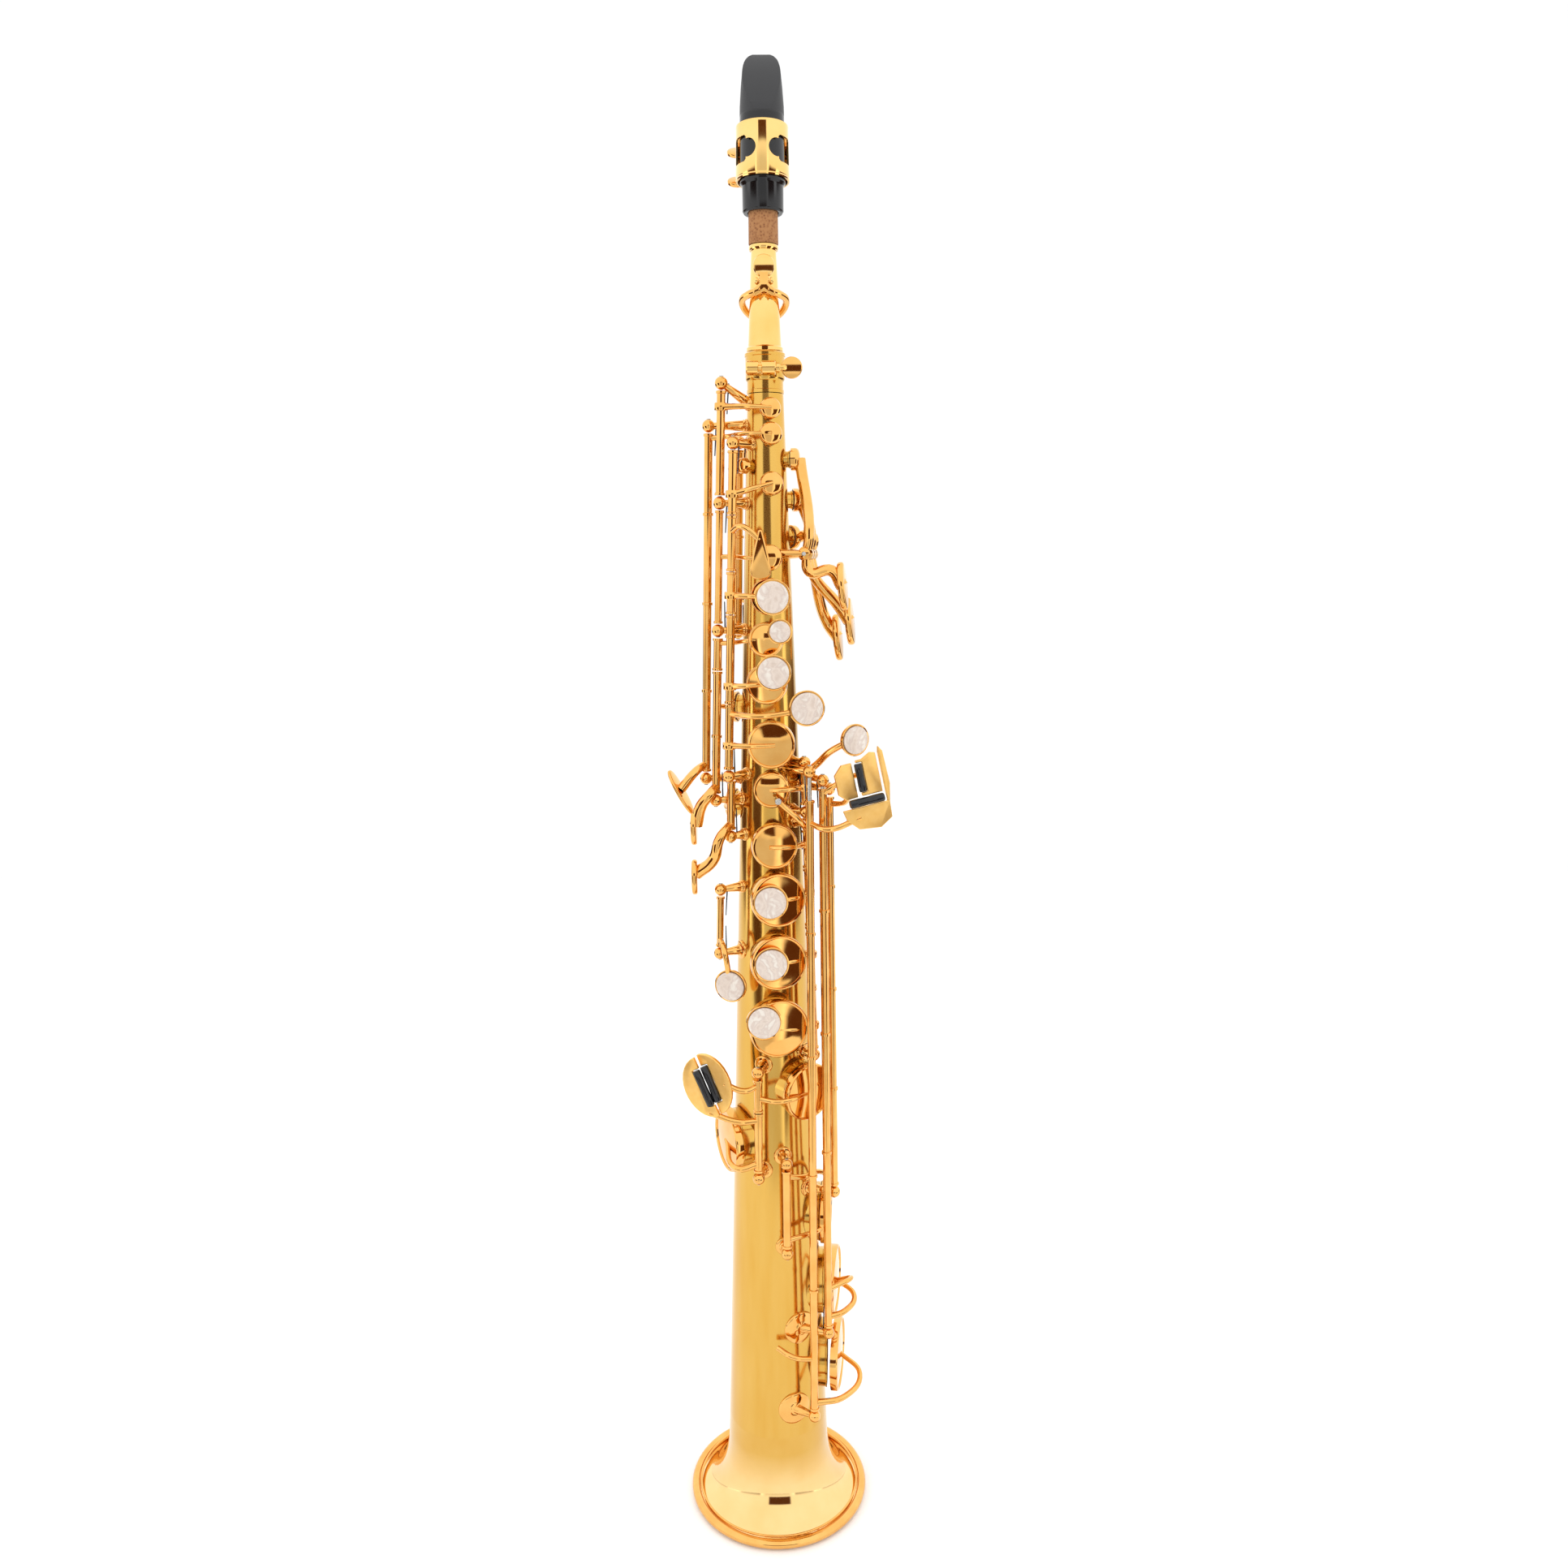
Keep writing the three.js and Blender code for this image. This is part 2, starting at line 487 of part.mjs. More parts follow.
const ligatureFoot = mouthFoot + shankLength + 0.8;
const ligatureHeight = 21.8;
const ligatureWall = 0.9;
const ligatureGap = 3.4; // between the two screw ears at the back
const earOut = 17;
const keyholeRadius = 3.7; // round end of each side window
const screwHeights = { upper: ligatureFoot + 16.6, lower: ligatureFoot + 4.6 };
const ligatureScrewAxis = (z) => vec(0, earOut, z);
function ligature() {
  const inner = mouthBodyRadius + 2 * clearance;
  const z1 = ligatureFoot + ligatureHeight;
  const ring = (grow, z0, zz) =>
    solid(new THREE.CylinderGeometry(inner + grow - 0.5, inner + grow, zz - z0, 18).rotateX(Math.PI / 2)
      .scale(1.04, 1.18, 1).translate(0, 1.9, (z0 + zz) / 2));
  let band = ring(ligatureWall, ligatureFoot, z1).subtract(ring(0, ligatureFoot - 1, z1 + 1));
  const windowHeight = ligatureHeight - 11.4;
  for (const side of [-1, 1]) {
    const centre = polar(ligatureFoot + ligatureHeight / 2, side * 64, inner);
    const sideWindow = new THREE.BoxGeometry(9, 9, windowHeight).rotateZ(radians(side * 64));
    const keyhole = polar(centre.z, side * 34, inner);
    band = band.subtract(solid(sideWindow.translate(centre.x, centre.y, centre.z)))
      .subtract(disc(keyhole.clone().addScaledVector(outward(side * 34), -4), outward(side * 34), keyholeRadius, 9, 14));
  }
  for (const x of [-ligatureGap / 2 - 0.8, ligatureGap / 2 + 0.8])
    for (const z of Object.values(screwHeights)) {
      band = band.add(bar(vec(x - 0.8, earOut, z), vec(x + 0.8, earOut, z), 2.9, 2.9, 12));
      band = band.add(solid(new THREE.BoxGeometry(1.6, 4.6, 5).translate(x, earOut - 2.2, z)));
    }
  band = band.subtract(solid(new THREE.BoxGeometry(ligatureGap - 0.6, 8, 40).translate(0, earOut - 1.5, ligatureFoot + 12)));
  for (const z of Object.values(screwHeights))
    band = band.subtract(bar(vec(-9, earOut, z), vec(9, earOut, z), 1.5, 1.5, 8));
  return band;
}
add("ligature", ligature(), lacquer);

function ligatureScrew(z) {
  const axis = ligatureScrewAxis(z);
  const shank = bar(axis.clone().setX(4.4), axis.clone().setX(-9.4), 1.15, 1.15, 8);
  const collar = bar(axis.clone().setX(-3.6), axis.clone().setX(-4.8), 2.3, 2.3, 10);
  const paddle = plate(axis.clone().setX(-11), vec(1, 0, 0), vec(0, Math.cos(0.7), Math.sin(0.7)), ellipse(4.6, 3.8, 12), 1.8);
  return shank.add(collar).add(paddle);
}
for (const [name, z] of Object.entries(screwHeights))
  add(`ligature_screw_${name}`, ligatureScrew(z), lacquer, { point: ligatureScrewAxis(z), axis: vec(-1, 0, 0) });

// ---------- keys ----------
const hingeTube = (line, z1, z0, radius = tubeRadius) => bar(line.at(z0), line.at(z1), radius, radius, 6);
const rodHole = (line, z1, z0) => bar(line.at(z0 - 1), line.at(z1 + 1), rodBore, rodBore, 5);
const seat = (hole, lift = padLift) => hole.out.clone().multiplyScalar(hole.rim + lift).setZ(hole.z);
const cupTop = (hole, over = 0) => seat(hole, padLift + cupThickness + over);
const cupRadius = (hole) => hole.bore + cupOverhang;
const cup = (hole) => disc(seat(hole), hole.out, cupRadius(hole), cupThickness, hole.bore > 7 ? 12 : 9);

// An arm from the hinge tube to the middle of a cup, or a little past it.
function cupArm(line, z, hole, past = 0) {
  const from = line.at(z);
  const top = cupTop(hole, 0.4);
  top.addScaledVector(top.clone().sub(from).setZ(0).normalize(), past);
  return arm([from, from.clone().lerp(top, 0.5).addScaledVector(hole.out, 2.8), top]);
}

// A white pearl in a round holder. Its stem stands on the key's cup or arm below it.
const pearlAt = (x, y, z, radius, angle, stem = 0) => ({ at: vec(x, y, z), out: outward(angle), radius, stem });
const holderDepth = 2.6;
const pearlBack = (pearl, depth) => pearl.at.clone().addScaledVector(pearl.out, -depth);
function holder(pearl) {
  const dish = disc(pearlBack(pearl, holderDepth), pearl.out, pearl.radius + clearance + holderWall, holderDepth);
  if (!pearl.stem) return dish;
  return dish.add(bar(pearlBack(pearl, holderDepth + pearl.stem), pearlBack(pearl, holderDepth - 0.5), 2.2, 2.2, 7));
}
const pocket = (pearl) => disc(pearlBack(pearl, pearlSink), pearl.out, pearl.radius + clearance, pearlThickness + 4);
const pearlDisc = (pearl) => disc(pearlBack(pearl, pearlSink - clearance), pearl.out, pearl.radius, pearlThickness);

// The sign of the swing about a line that takes a cup off its tone hole.
function liftSign(line, hole) {
  const lever = seat(hole).sub(line.at(hole.z));
  return Math.sign(line.axis.clone().cross(lever).dot(hole.out));
}
function turned(manifold, line, angle) {
  const turn = new THREE.Matrix4().makeTranslation(line.bottom)
    .multiply(new THREE.Matrix4().makeRotationAxis(line.axis, angle))
    .multiply(new THREE.Matrix4().makeTranslation(line.bottom.clone().negate()));
  return manifold.transform(turn.elements);
}

const restAngle = (line, hole, degrees) => radians(degrees) * liftSign(line, hole);

// One key: a hinge tube with its soldered cup, arms and touch, and its pearl. Each is drawn closed.
// A key that stands open is then turned by its rest angle, and its joint closes it again.
function key(name, { line, z1, z0, hole, pieces = [], pearl, rest = 0, sign, radius = tubeRadius }) {
  let made = hingeTube(line, z1 - endGap / 2, z0 + endGap / 2, radius);
  if (hole) made = made.add(cup(hole));
  for (const piece of pieces) made = made.add(piece);
  if (pearl) made = made.add(holder(pearl)).subtract(pocket(pearl));
  if (line.rod) made = made.subtract(rodHole(line, z1, z0));
  const lift = sign ?? liftSign(line, hole);
  const angle = radians(rest) * lift;
  const hinge = { point: line.at((z0 + z1) / 2), axis: line.axis.clone().multiplyScalar(rest ? -lift : lift) };
  add(name, turned(made, line, angle), lacquer, hinge);
  if (pearl) add(name.replace(/_key$|_lever$/, "_pearl"), turned(pearlDisc(pearl), line, angle), pearlShell);
}

const { highE, upperLeft, leftStack, sideBFlat, gSharp, rightStack, lowBFlat, lowB } = lines;
const { lowCSharp, rightPinky, lowCSharpCup, highFSharpLever, octave } = lines;
const stackRest = 8; // degrees that the stack keys stand open

key("high_f_sharp_key", { line: upperLeft, z1: 552.5, z0: 507.6, hole: holes.highFSharp,
  pieces: [cupArm(upperLeft, 545.6, holes.highFSharp)] });
const sideTouch = { centre: vec(-41.6, -7, 373.6), across: vec(-0.35, -0.94, 0).normalize(),
  along: vec(0.62, 0, -1).normalize() };
key("high_e_key", { line: highE, z1: 535.2, z0: 382.2, hole: holes.highE,
  pieces: [
    arm([highE.at(533), polar(533.6, -84, 17.2), polar(533.8, -40, 15.6), cupTop(holes.highE)], 1.2, 6),
    arm([highE.at(386), vec(-34.5, -5, 383), sideTouch.centre], 1.5),
    plate(sideTouch.centre, sideTouch.across, sideTouch.along, ellipse(4.4, 11.6), 1.6),
  ] });
key("high_f_cup_key", { line: leftStack, z1: 526.8, z0: 499, hole: holes.highF,
  pieces: [cupArm(leftStack, 508, holes.highF)] });
key("front_f_key", { line: leftStack, z1: 499, z0: 474.5, sign: 1,
  pieces: [
    arm([leftStack.at(492), vec(-11, -20.6, 494), vec(-3, -22.8, 488)]),
    plate(vec(-3, -22.8, 481.5), vec(1, 0, 0), UP,
      [[-4.2, -10], [4.2, -10], [4.6, -7], [0.9, 11], [-0.9, 11], [-4.6, -7]], 1.8),
  ] });
key("high_c_key", { line: upperLeft, z1: 501.5, z0: 451.2, hole: holes.highC, rest: 6, radius: 1.6,
  pieces: [arm([upperLeft.at(481), polar(481, -58, 17.4), polar(480.4, -28, 16.2), cupTop(holes.highC)], 1.1, 5)] });
key("b_key", { line: leftStack, z1: 474.5, z0: 455.5, hole: holes.b, rest: stackRest,
  pieces: [cupArm(leftStack, 464, holes.b)], pearl: pearlAt(3.6, -23.4, 463.4, 6.9, 4, 4) });
key("bis_key", { line: upperLeft, z1: 445, z0: 430, hole: holes.bis, rest: 7,
  pieces: [arm([upperLeft.at(442.5), polar(442.8, -58, 18.4), polar(444, -28, 17.6), cupTop(holes.bis)], 1.1, 5)],
  pearl: pearlAt(7, -22.4, 448.4, 4.6, 12, 3) });
key("a_key", { line: leftStack, z1: 455.5, z0: 415.5, hole: holes.a, rest: stackRest,
  pieces: [cupArm(leftStack, 423.5, holes.a)], pearl: pearlAt(3.6, -24.4, 430.4, 6.9, 4, 3.4) });
key("g_key", { line: leftStack, z1: 415.5, z0: 385.4, hole: holes.g, rest: stackRest,
  pieces: [cupArm(leftStack, 396.5, holes.g, 2),
    arm([leftStack.at(411), vec(-2, -26, 411.4), vec(17.6, -24, 414)], 1.3)],
  pearl: pearlAt(18.6, -26.4, 415, 7, 16) });
key("side_c_key", { line: upperLeft, z1: 430, z0: 373.2, hole: holes.sideC,
  pieces: [arm([upperLeft.at(414), polar(413, -84, 22), cupTop(holes.sideC)]),
    arm([upperLeft.at(376.5), vec(-27.5, -13.4, 374), vec(-34, -12.4, 367), vec(-35.4, -10.8, 359)], 1.3, 6),
    plate(vec(-35.4, -10.8, 357.4), vec(0.06, 1, 0).normalize(), UP, ellipse(4.4, 7.2), 1.8)] });
key("side_b_flat_key", { line: sideBFlat, z1: 380, z0: 356.7, hole: holes.sideBFlat,
  pieces: [arm([sideBFlat.at(366), polar(366, -84, 21), cupTop(holes.sideBFlat)]),
    arm([sideBFlat.at(359.6), vec(-23.4, -17.6, 354), vec(-29, -15.6, 343), vec(-35.6, -12.4, 336)], 1.3, 6),
    plate(vec(-35.6, -12.4, 334.2), vec(0, 1, 0), UP, ellipse(4.4, 7.4), 1.8)] });
const gSharpPearl = pearlAt(37.8, -34, 401.2, 6.2, 30);
key("g_sharp_key", { line: gSharp, z1: 385.3, z0: 368.7, hole: holes.gSharp,
  pieces: [cupArm(gSharp, 377, holes.gSharp, 1),
    arm([gSharp.at(383.4), vec(20.6, -16.4, 387), vec(27, -24.4, 394.6), pearlBack(gSharpPearl, 2)], 1.4, 6)],
  pearl: gSharpPearl });
key("f_sharp_key", { line: rightStack, z1: 356.4, z0: 338, hole: holes.fSharp, rest: stackRest,
  pieces: [cupArm(rightStack, 349.5, holes.fSharp, 3)] });
key("f_key", { line: rightStack, z1: 338, z0: 310.2, hole: holes.f, rest: stackRest,
  pieces: [cupArm(rightStack, 326.4, holes.f)], pearl: pearlAt(-2.4, -25.6, 325.6, 7.2, -2, 3) });
key("e_key", { line: rightStack, z1: 310.2, z0: 280, hole: holes.e, rest: stackRest,
  pieces: [cupArm(rightStack, 296.4, holes.e)], pearl: pearlAt(-2.4, -26.6, 296.4, 7.2, -2, 3) });
key("d_key", { line: rightStack, z1: 280, z0: 249.6, hole: holes.d, rest: stackRest,
  pieces: [cupArm(rightStack, 261.4, holes.d)], pearl: pearlAt(-6.2, -27.4, 268.8, 7.4, -4, 3) });
key("high_f_sharp_lever", { line: highFSharpLever, z1: 324.8, z0: 300.2, sign: 1, radius: 1.6,
  pieces: [arm([highFSharpLever.at(304), vec(-22.6, -19, 301), vec(-20.4, -18.4, 286)], 1.3)],
  pearl: pearlAt(-20, -19.6, 283, 6.9, -20) });

// ---------- left little finger table and the low keys on their long rods ----------
const tableOut = vec(0.3, -0.95, 0.1).normalize(); // the way the touches face
const tableUp = vec(-0.2, 0, 1).projectOnPlane(tableOut).normalize();
const tableAcross = tableUp.clone().cross(tableOut);
const tableCentre = vec(42, -29, 380.6);
const onTable = (across, up, out = 0) =>
  tableCentre.clone().addScaledVector(tableAcross, across).addScaledVector(tableUp, up).addScaledVector(tableOut, out);
const touchThickness = 2.0;
const tablePlate = (outline) => plate(onTable(0, 0), tableAcross, tableUp, outline, touchThickness);
const rollerRadius = 1.5;
const rollerRise = 0.9; // a roller's axis above the middle of its plate

key("low_c_sharp_lever", { line: lowCSharp, z1: 372.6, z0: 180, sign: 1,
  pieces: [
    tablePlate([[-13, -2], [-10, -5], [-5.2, -5], [-5.2, 10.8], [-9, 10.8], [-13, 7]]),
    arm([lowCSharp.at(369), vec(31, -18.6, 369.6), vec(34, -25.4, 372), onTable(-8, -2)], 1.4, 5),
    arm([lowCSharp.at(185), polar(186, 62, 30.4)]),
  ] });
key("low_b_key", { line: lowB, z1: 377.6, z0: 107.8, hole: holes.lowB, rest: 6,
  pieces: [
    tablePlate([[-1.2, -4.6], [8.4, -4.6], [8.4, 13], [6, 13.6], [1.4, 11.4], [-1.2, 11.4], [-1.2, 10.2], [1.4, 10.2],
      [1.4, -3.3], [-1.2, -3.3]]),
    arm([lowB.at(374.8), vec(29, -24, 379), vec(39, -24, 384), onTable(5, 4)], 1.3, 5),
    arm([lowB.at(113), vec(33.4, -21.5, 115), vec(37.6, -12, 117), cupTop(holes.lowB, 0.2)], 1.5, 6),
    arm([lowB.at(128), vec(36, -16, 129), cupTop(holes.lowB)], 1.3, 5),
  ] });
key("low_b_flat_key", { line: lowBFlat, z1: 372.6, z0: 65.2, hole: holes.lowBFlat, rest: 6,
  pieces: [
    tablePlate([[-11.6, -9.4], [-10.6, -14], [-6, -19], [4, -20.4], [10, -17], [10.4, -10], [12, -2], [11.6, 13],
      [10, 15.6], [9.4, 13], [9.4, -9.4]]),
    arm([lowBFlat.at(362), vec(27, -32.6, 361), onTable(-4, -14)], 1.4),
    arm([lowBFlat.at(69), vec(33, -24, 70), vec(40, -12.4, 74), cupTop(holes.lowBFlat, 0.2)], 1.5, 6),
    arm([lowBFlat.at(93), vec(8, -32, 96), vec(0, -29.4, 99)]),
  ] });
key("low_c_sharp_key", { line: lowCSharpCup, z1: 193.6, z0: 153, hole: holes.lowCSharp,
  pieces: [
    arm([lowCSharpCup.at(190), polar(187.6, 30, 27.2), polar(186.6, 52, 27.2), polar(178, 70, 27.8),
      cupTop(holes.lowCSharp)], 1.3, 8),
    arm([lowCSharpCup.at(157), polar(157, 32, 28.6), polar(157, 52, 29), cupTop(holes.lowCSharp)], 1.3, 6),
  ] });

// A roller in its key's touch, which is drawn closed too and then turned with its key.
function roller(name, centre, direction, length, line, angle = 0) {
  const half = direction.clone().multiplyScalar(length / 2);
  const made = bar(centre.clone().sub(half), centre.clone().add(half), rollerRadius, rollerRadius, 10);
  const point = centre.clone().sub(line.bottom).applyAxisAngle(line.axis, angle).add(line.bottom);
  const axis = direction.clone().applyAxisAngle(line.axis, angle);
  add(name, turned(made, line, angle), blackPlastic, { point, axis });
}
roller("left_roller_upper", onTable(-0.4, 3.45, rollerRise), tableUp, 12.8, lowB,
  restAngle(lowB, holes.lowB, 6));
roller("left_roller_lower", onTable(0, -7.2, rollerRise), tableAcross, 15, lowBFlat,
  restAngle(lowBFlat, holes.lowBFlat, 6));

// ---------- right little finger: low C and E flat ----------
const pinkyOut = vec(-0.34, -0.94, 0.05).normalize();
const pinkyUp = vec(-0.42, 0.14, 0.9).projectOnPlane(pinkyOut).normalize();
const pinkyAcross = pinkyUp.clone().cross(pinkyOut);
const pinkyCentre = vec(-31, -28, 237);
const onPinky = (across, up, out = 0) =>
  pinkyCentre.clone().addScaledVector(pinkyAcross, across).addScaledVector(pinkyUp, up).addScaledVector(pinkyOut, out);
const halfOval = { across: 11.4, up: 15, gap: 0.6, rollerLength: 17.6, rollerSpan: 3.8 };
function halfTouch(side) {
  const rim = Array.from({ length: 9 }, (_, i) => {
    const turn = radians(-90 + 22.5 * i);
    return [side * (halfOval.gap + halfOval.across * Math.cos(turn)), halfOval.up * Math.sin(turn)];
  });
  const end = halfOval.rollerLength / 2 + clearance * 2;
  const window = [[halfOval.gap, end], [halfOval.rollerSpan, end], [halfOval.rollerSpan, -end], [halfOval.gap, -end]];
  const outline = rim.concat(window.map(([x, y]) => [side * x, y]));
  return plate(onPinky(0, 0), pinkyAcross, pinkyUp, outline, touchThickness);
}
key("low_c_key", { line: rightPinky, z1: 239.6, z0: 223, hole: holes.lowC, rest: 5,
  pieces: [halfTouch(1), arm([rightPinky.at(236.4), vec(-13.5, -31, 235.4), onPinky(8, -2)], 1.3),
    arm([rightPinky.at(230), vec(3, -30, 230), cupTop(holes.lowC)], 1.3, 5)] });
key("e_flat_key", { line: rightPinky, z1: 223, z0: 192.8, hole: holes.eFlat,
  pieces: [halfTouch(-1), arm([rightPinky.at(219), vec(-17, -30.6, 220), onPinky(-5, -12)], 1.4),
    arm([rightPinky.at(197), vec(-18, -28.4, 195), cupTop(holes.eFlat)], 1.5, 5)] });
roller("right_roller_inner", onPinky(2.1, 0, rollerRise), pinkyUp, halfOval.rollerLength, rightPinky,
  restAngle(rightPinky, holes.lowC, 5));
roller("right_roller_outer", onPinky(-2.1, 0, rollerRise), pinkyUp, halfOval.rollerLength, rightPinky);

// ---------- palm keys, three levers side by side on one pin ----------
const palmSpacing = 4.6;
const palmHub = 3.6;
const palmArm = 1.8; // half width of the cast levers
function palmKey(name, offset, hole, touch) {
  const hub = disc(palmAlong(offset - palmHub / 2, 0, 0), palmAcross, 2.5, palmHub, 10);
  const crown = cupTop(hole);
  const upper = arm([palmAlong(offset, 0, 0), palmAlong(offset, 1, 7), crown], palmArm, 5);
  const elbow = touch.clone().addScaledVector(palmOut, -5).setZ(touch.z + 7);
  const lower = arm([palmAlong(offset, 0, 0), palmAlong(offset, 1.6, -8), elbow, touch], palmArm, 6);
  const paddle = plate(touch, palmAcross, vec(0.1, 0, -1).projectOnPlane(palmAcross).normalize(), ellipse(4.6, 9.2), 2);
  const bore = disc(palmAlong(offset - 4, 0, 0), palmAcross, rodBore, 8, 6);
  const made = union([hub, cup(hole), upper, lower, paddle]).subtract(bore);
  add(name, made, lacquer, { point: palmAlong(offset, 0, 0), axis: palmAcross.clone() });
}
palmKey("palm_f_key", -palmSpacing, holes.palmF, vec(33.4, -12.6, 467.5));
palmKey("palm_e_flat_key", 0, holes.palmEFlat, vec(37.2, -3, 451.5));
palmKey("palm_d_key", palmSpacing, holes.palmD, vec(32.4, 8.4, 443.5));
const pinReach = palmSaddle.half + 1.4;
add("palm_key_pin", bar(palmAlong(-pinReach, 0, 0), palmAlong(pinReach, 0, 0), rodRadius, rodRadius, 8), steel);

// ---------- octave key behind, thumb rest and thumb hook ----------
const thumbTouch = { z: 458, angle: 168, r: 18.6 };
const touchCentre = polar(thumbTouch.z, thumbTouch.angle, thumbTouch.r);
key("octave_key", { line: octave, z1: 528.8, z0: 449.2, hole: holes.octavePip,
  pieces: [
    arm([octave.at(519), polar(520, -92, 16.4), seat(holes.octavePip, padLift + cupThickness - 1)], 1.0, 5),
    arm([octave.at(462), polar(460, -156, 18.6), touchCentre], 1.3),
    plate(touchCentre, outward(thumbTouch.angle + 90), UP, ellipse(5.4, 8), 1.8),
    arm([octave.at(521), polar(530, -150, 17.6), polar(552, -170, 14.6), polar(neckFoot + 11.2, -180, 13)], 1.2, 6),
  ] });

const thumbRest = { z: 438, radius: 6.2, height: 3 };
const restFoot = polar(thumbRest.z, 180, outerRadius(thumbRest.z) + clearance);
add("thumb_rest", disc(restFoot, outward(180), thumbRest.radius, thumbRest.height, 16), blackPlastic);

const hook = { z: 296, gap: 20, width: 14, thickness: 2, foot: 12 };
function thumbHook() {
  const inner = outerRadius(hook.z - hook.foot) + clearance;
  const curl = [inner + hook.thickness + hook.gap / 2, 0];
  const shape = new THREE.Shape();
  shape.moveTo(inner - 4, 10);
  shape.lineTo(inner - 4, -hook.foot);
  shape.lineTo(inner + hook.thickness, -hook.foot);
  shape.lineTo(inner + hook.thickness, 0);
  shape.absarc(...curl, hook.gap / 2, Math.PI, Math.PI * 0.25, true);
  shape.absarc(...curl, hook.gap / 2 + hook.thickness, Math.PI * 0.25, Math.PI * 0.88, false);
  const slab = new THREE.ExtrudeGeometry(shape, { depth: hook.width, bevelEnabled: false, curveSegments: 7 });
  slab.translate(0, hook.z, -hook.width / 2);
  slab.applyMatrix4(new THREE.Matrix4().makeBasis(vec(0, 1, 0), UP, vec(1, 0, 0)));
  return solid(slab).subtract(cone(hook.z - 30, hook.z + 30, -clearance));
}
add("thumb_hook", thumbHook(), lacquer);

// ---------- steel hinge rods ----------
const rods = { left_stack_rod: leftStack, right_stack_rod: rightStack, low_b_flat_rod: lowBFlat, low_b_rod: lowB };
for (const [name, line] of Object.entries(rods))
  add(name, bar(line.bottom.clone().addScaledVector(line.axis, -1.6), line.top.clone().addScaledVector(line.axis, 1.6), rodRadius, rodRadius, 8), steel);

export default saxophone;
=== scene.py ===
# Straight soprano saxophone in B flat: lacquered brass body and keys, mother-of-pearl touches,
# a hard rubber mouthpiece with a cane reed, and steel hinge rods. Sizes are in millimetres, times MM.
import json
import math

import bpy
from mathutils import Matrix, Vector


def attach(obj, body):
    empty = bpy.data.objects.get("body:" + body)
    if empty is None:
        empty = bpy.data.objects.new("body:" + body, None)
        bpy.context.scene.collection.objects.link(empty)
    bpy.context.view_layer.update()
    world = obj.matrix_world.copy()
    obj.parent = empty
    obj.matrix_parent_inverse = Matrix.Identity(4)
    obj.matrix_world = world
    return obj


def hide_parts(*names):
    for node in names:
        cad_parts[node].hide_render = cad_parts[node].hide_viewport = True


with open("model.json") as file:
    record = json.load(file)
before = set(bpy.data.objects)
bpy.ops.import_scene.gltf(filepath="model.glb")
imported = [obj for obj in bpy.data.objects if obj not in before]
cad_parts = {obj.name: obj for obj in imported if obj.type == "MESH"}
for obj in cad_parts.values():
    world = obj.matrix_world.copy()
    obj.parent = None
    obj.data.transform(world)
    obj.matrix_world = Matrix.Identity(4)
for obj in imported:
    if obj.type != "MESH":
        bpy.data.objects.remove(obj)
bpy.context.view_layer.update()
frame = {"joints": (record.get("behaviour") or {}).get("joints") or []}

# ---- Studio: white paper in a ring of lit walls, with a camera in front ----
# White paper lies under the instrument and a white ground stands behind it. Lit walls with brown gaps
# and a bright ceiling with one dark doorway give polished brass its bands of light and shadow.
MM = 0.001


def paint(code):
    """An sRGB hex colour as the linear colour the shaders take."""
    parts = [int(code[i:i + 2], 16) / 255 for i in (1, 3, 5)]
    return [c / 12.92 if c <= 0.04045 else ((c + 0.055) / 1.055) ** 2.4 for c in parts] + [1]


def node(tree, kind, inputs=None, **settings):
    """Adds a node, with its settings, and fills or links its inputs."""
    made = tree.nodes.new(kind)
    for key, value in settings.items():
        setattr(made, key, value)
    for key, value in (inputs or {}).items():
        if isinstance(value, bpy.types.NodeSocket):
            tree.links.new(value, made.inputs[key])
        else:
            made.inputs[key].default_value = value
    return made


def ramp(tree, factor, stops):
    """A colour ramp between stops of a place and a hex code, a grey or a linear colour."""
    made = node(tree, "ShaderNodeValToRGB", {"Fac": factor})
    while len(made.color_ramp.elements) < len(stops):
        made.color_ramp.elements.new(0.5)
    for element, (place, colour) in zip(made.color_ramp.elements, stops):
        element.position = place
        if isinstance(colour, str):
            colour = paint(colour)
        element.color = [colour] * 3 + [1] if isinstance(colour, float) else colour
    return made.outputs["Color"]


def finish(name):
    """A new material with its shader tree, its shader and its object coordinates."""
    made = bpy.data.materials.new(name)
    made.use_nodes = True
    tree = made.node_tree
    return made, tree, tree.nodes["Principled BSDF"], node(tree, "ShaderNodeTexCoord").outputs["Object"]


def noise(tree, coords, scale, detail):
    """A noise pattern's grey value."""
    return node(tree, "ShaderNodeTexNoise",
                {"Vector": coords, "Scale": scale, "Detail": detail}).outputs["Fac"]


def tint(tree, shader, factor, *stops):
    """Colours a shader along a factor, from (place, hex colour) stops."""
    tree.links.new(ramp(tree, factor, stops), shader.inputs["Base Color"])


def roughen(tree, shader, factor, low, high):
    """Varies a shader's roughness between two values along a factor."""
    reach = node(tree, "ShaderNodeMapRange", {"Value": factor, "To Min": low, "To Max": high})
    tree.links.new(reach.outputs[0], shader.inputs["Roughness"])


def emboss(tree, shader, height, strength, distance):
    """Bends a shader's normals by a height in metres."""
    bump = node(tree, "ShaderNodeBump",
                {"Height": height, "Strength": strength, "Distance": distance})
    tree.links.new(bump.outputs[0], shader.inputs["Normal"])


def preset(shader, **values):
    """Sets a shader's inputs, named in small letters with underscores."""
    for name, value in values.items():
        shader.inputs[name.replace("_", " ").title().replace("Ior", "IOR")].default_value = value


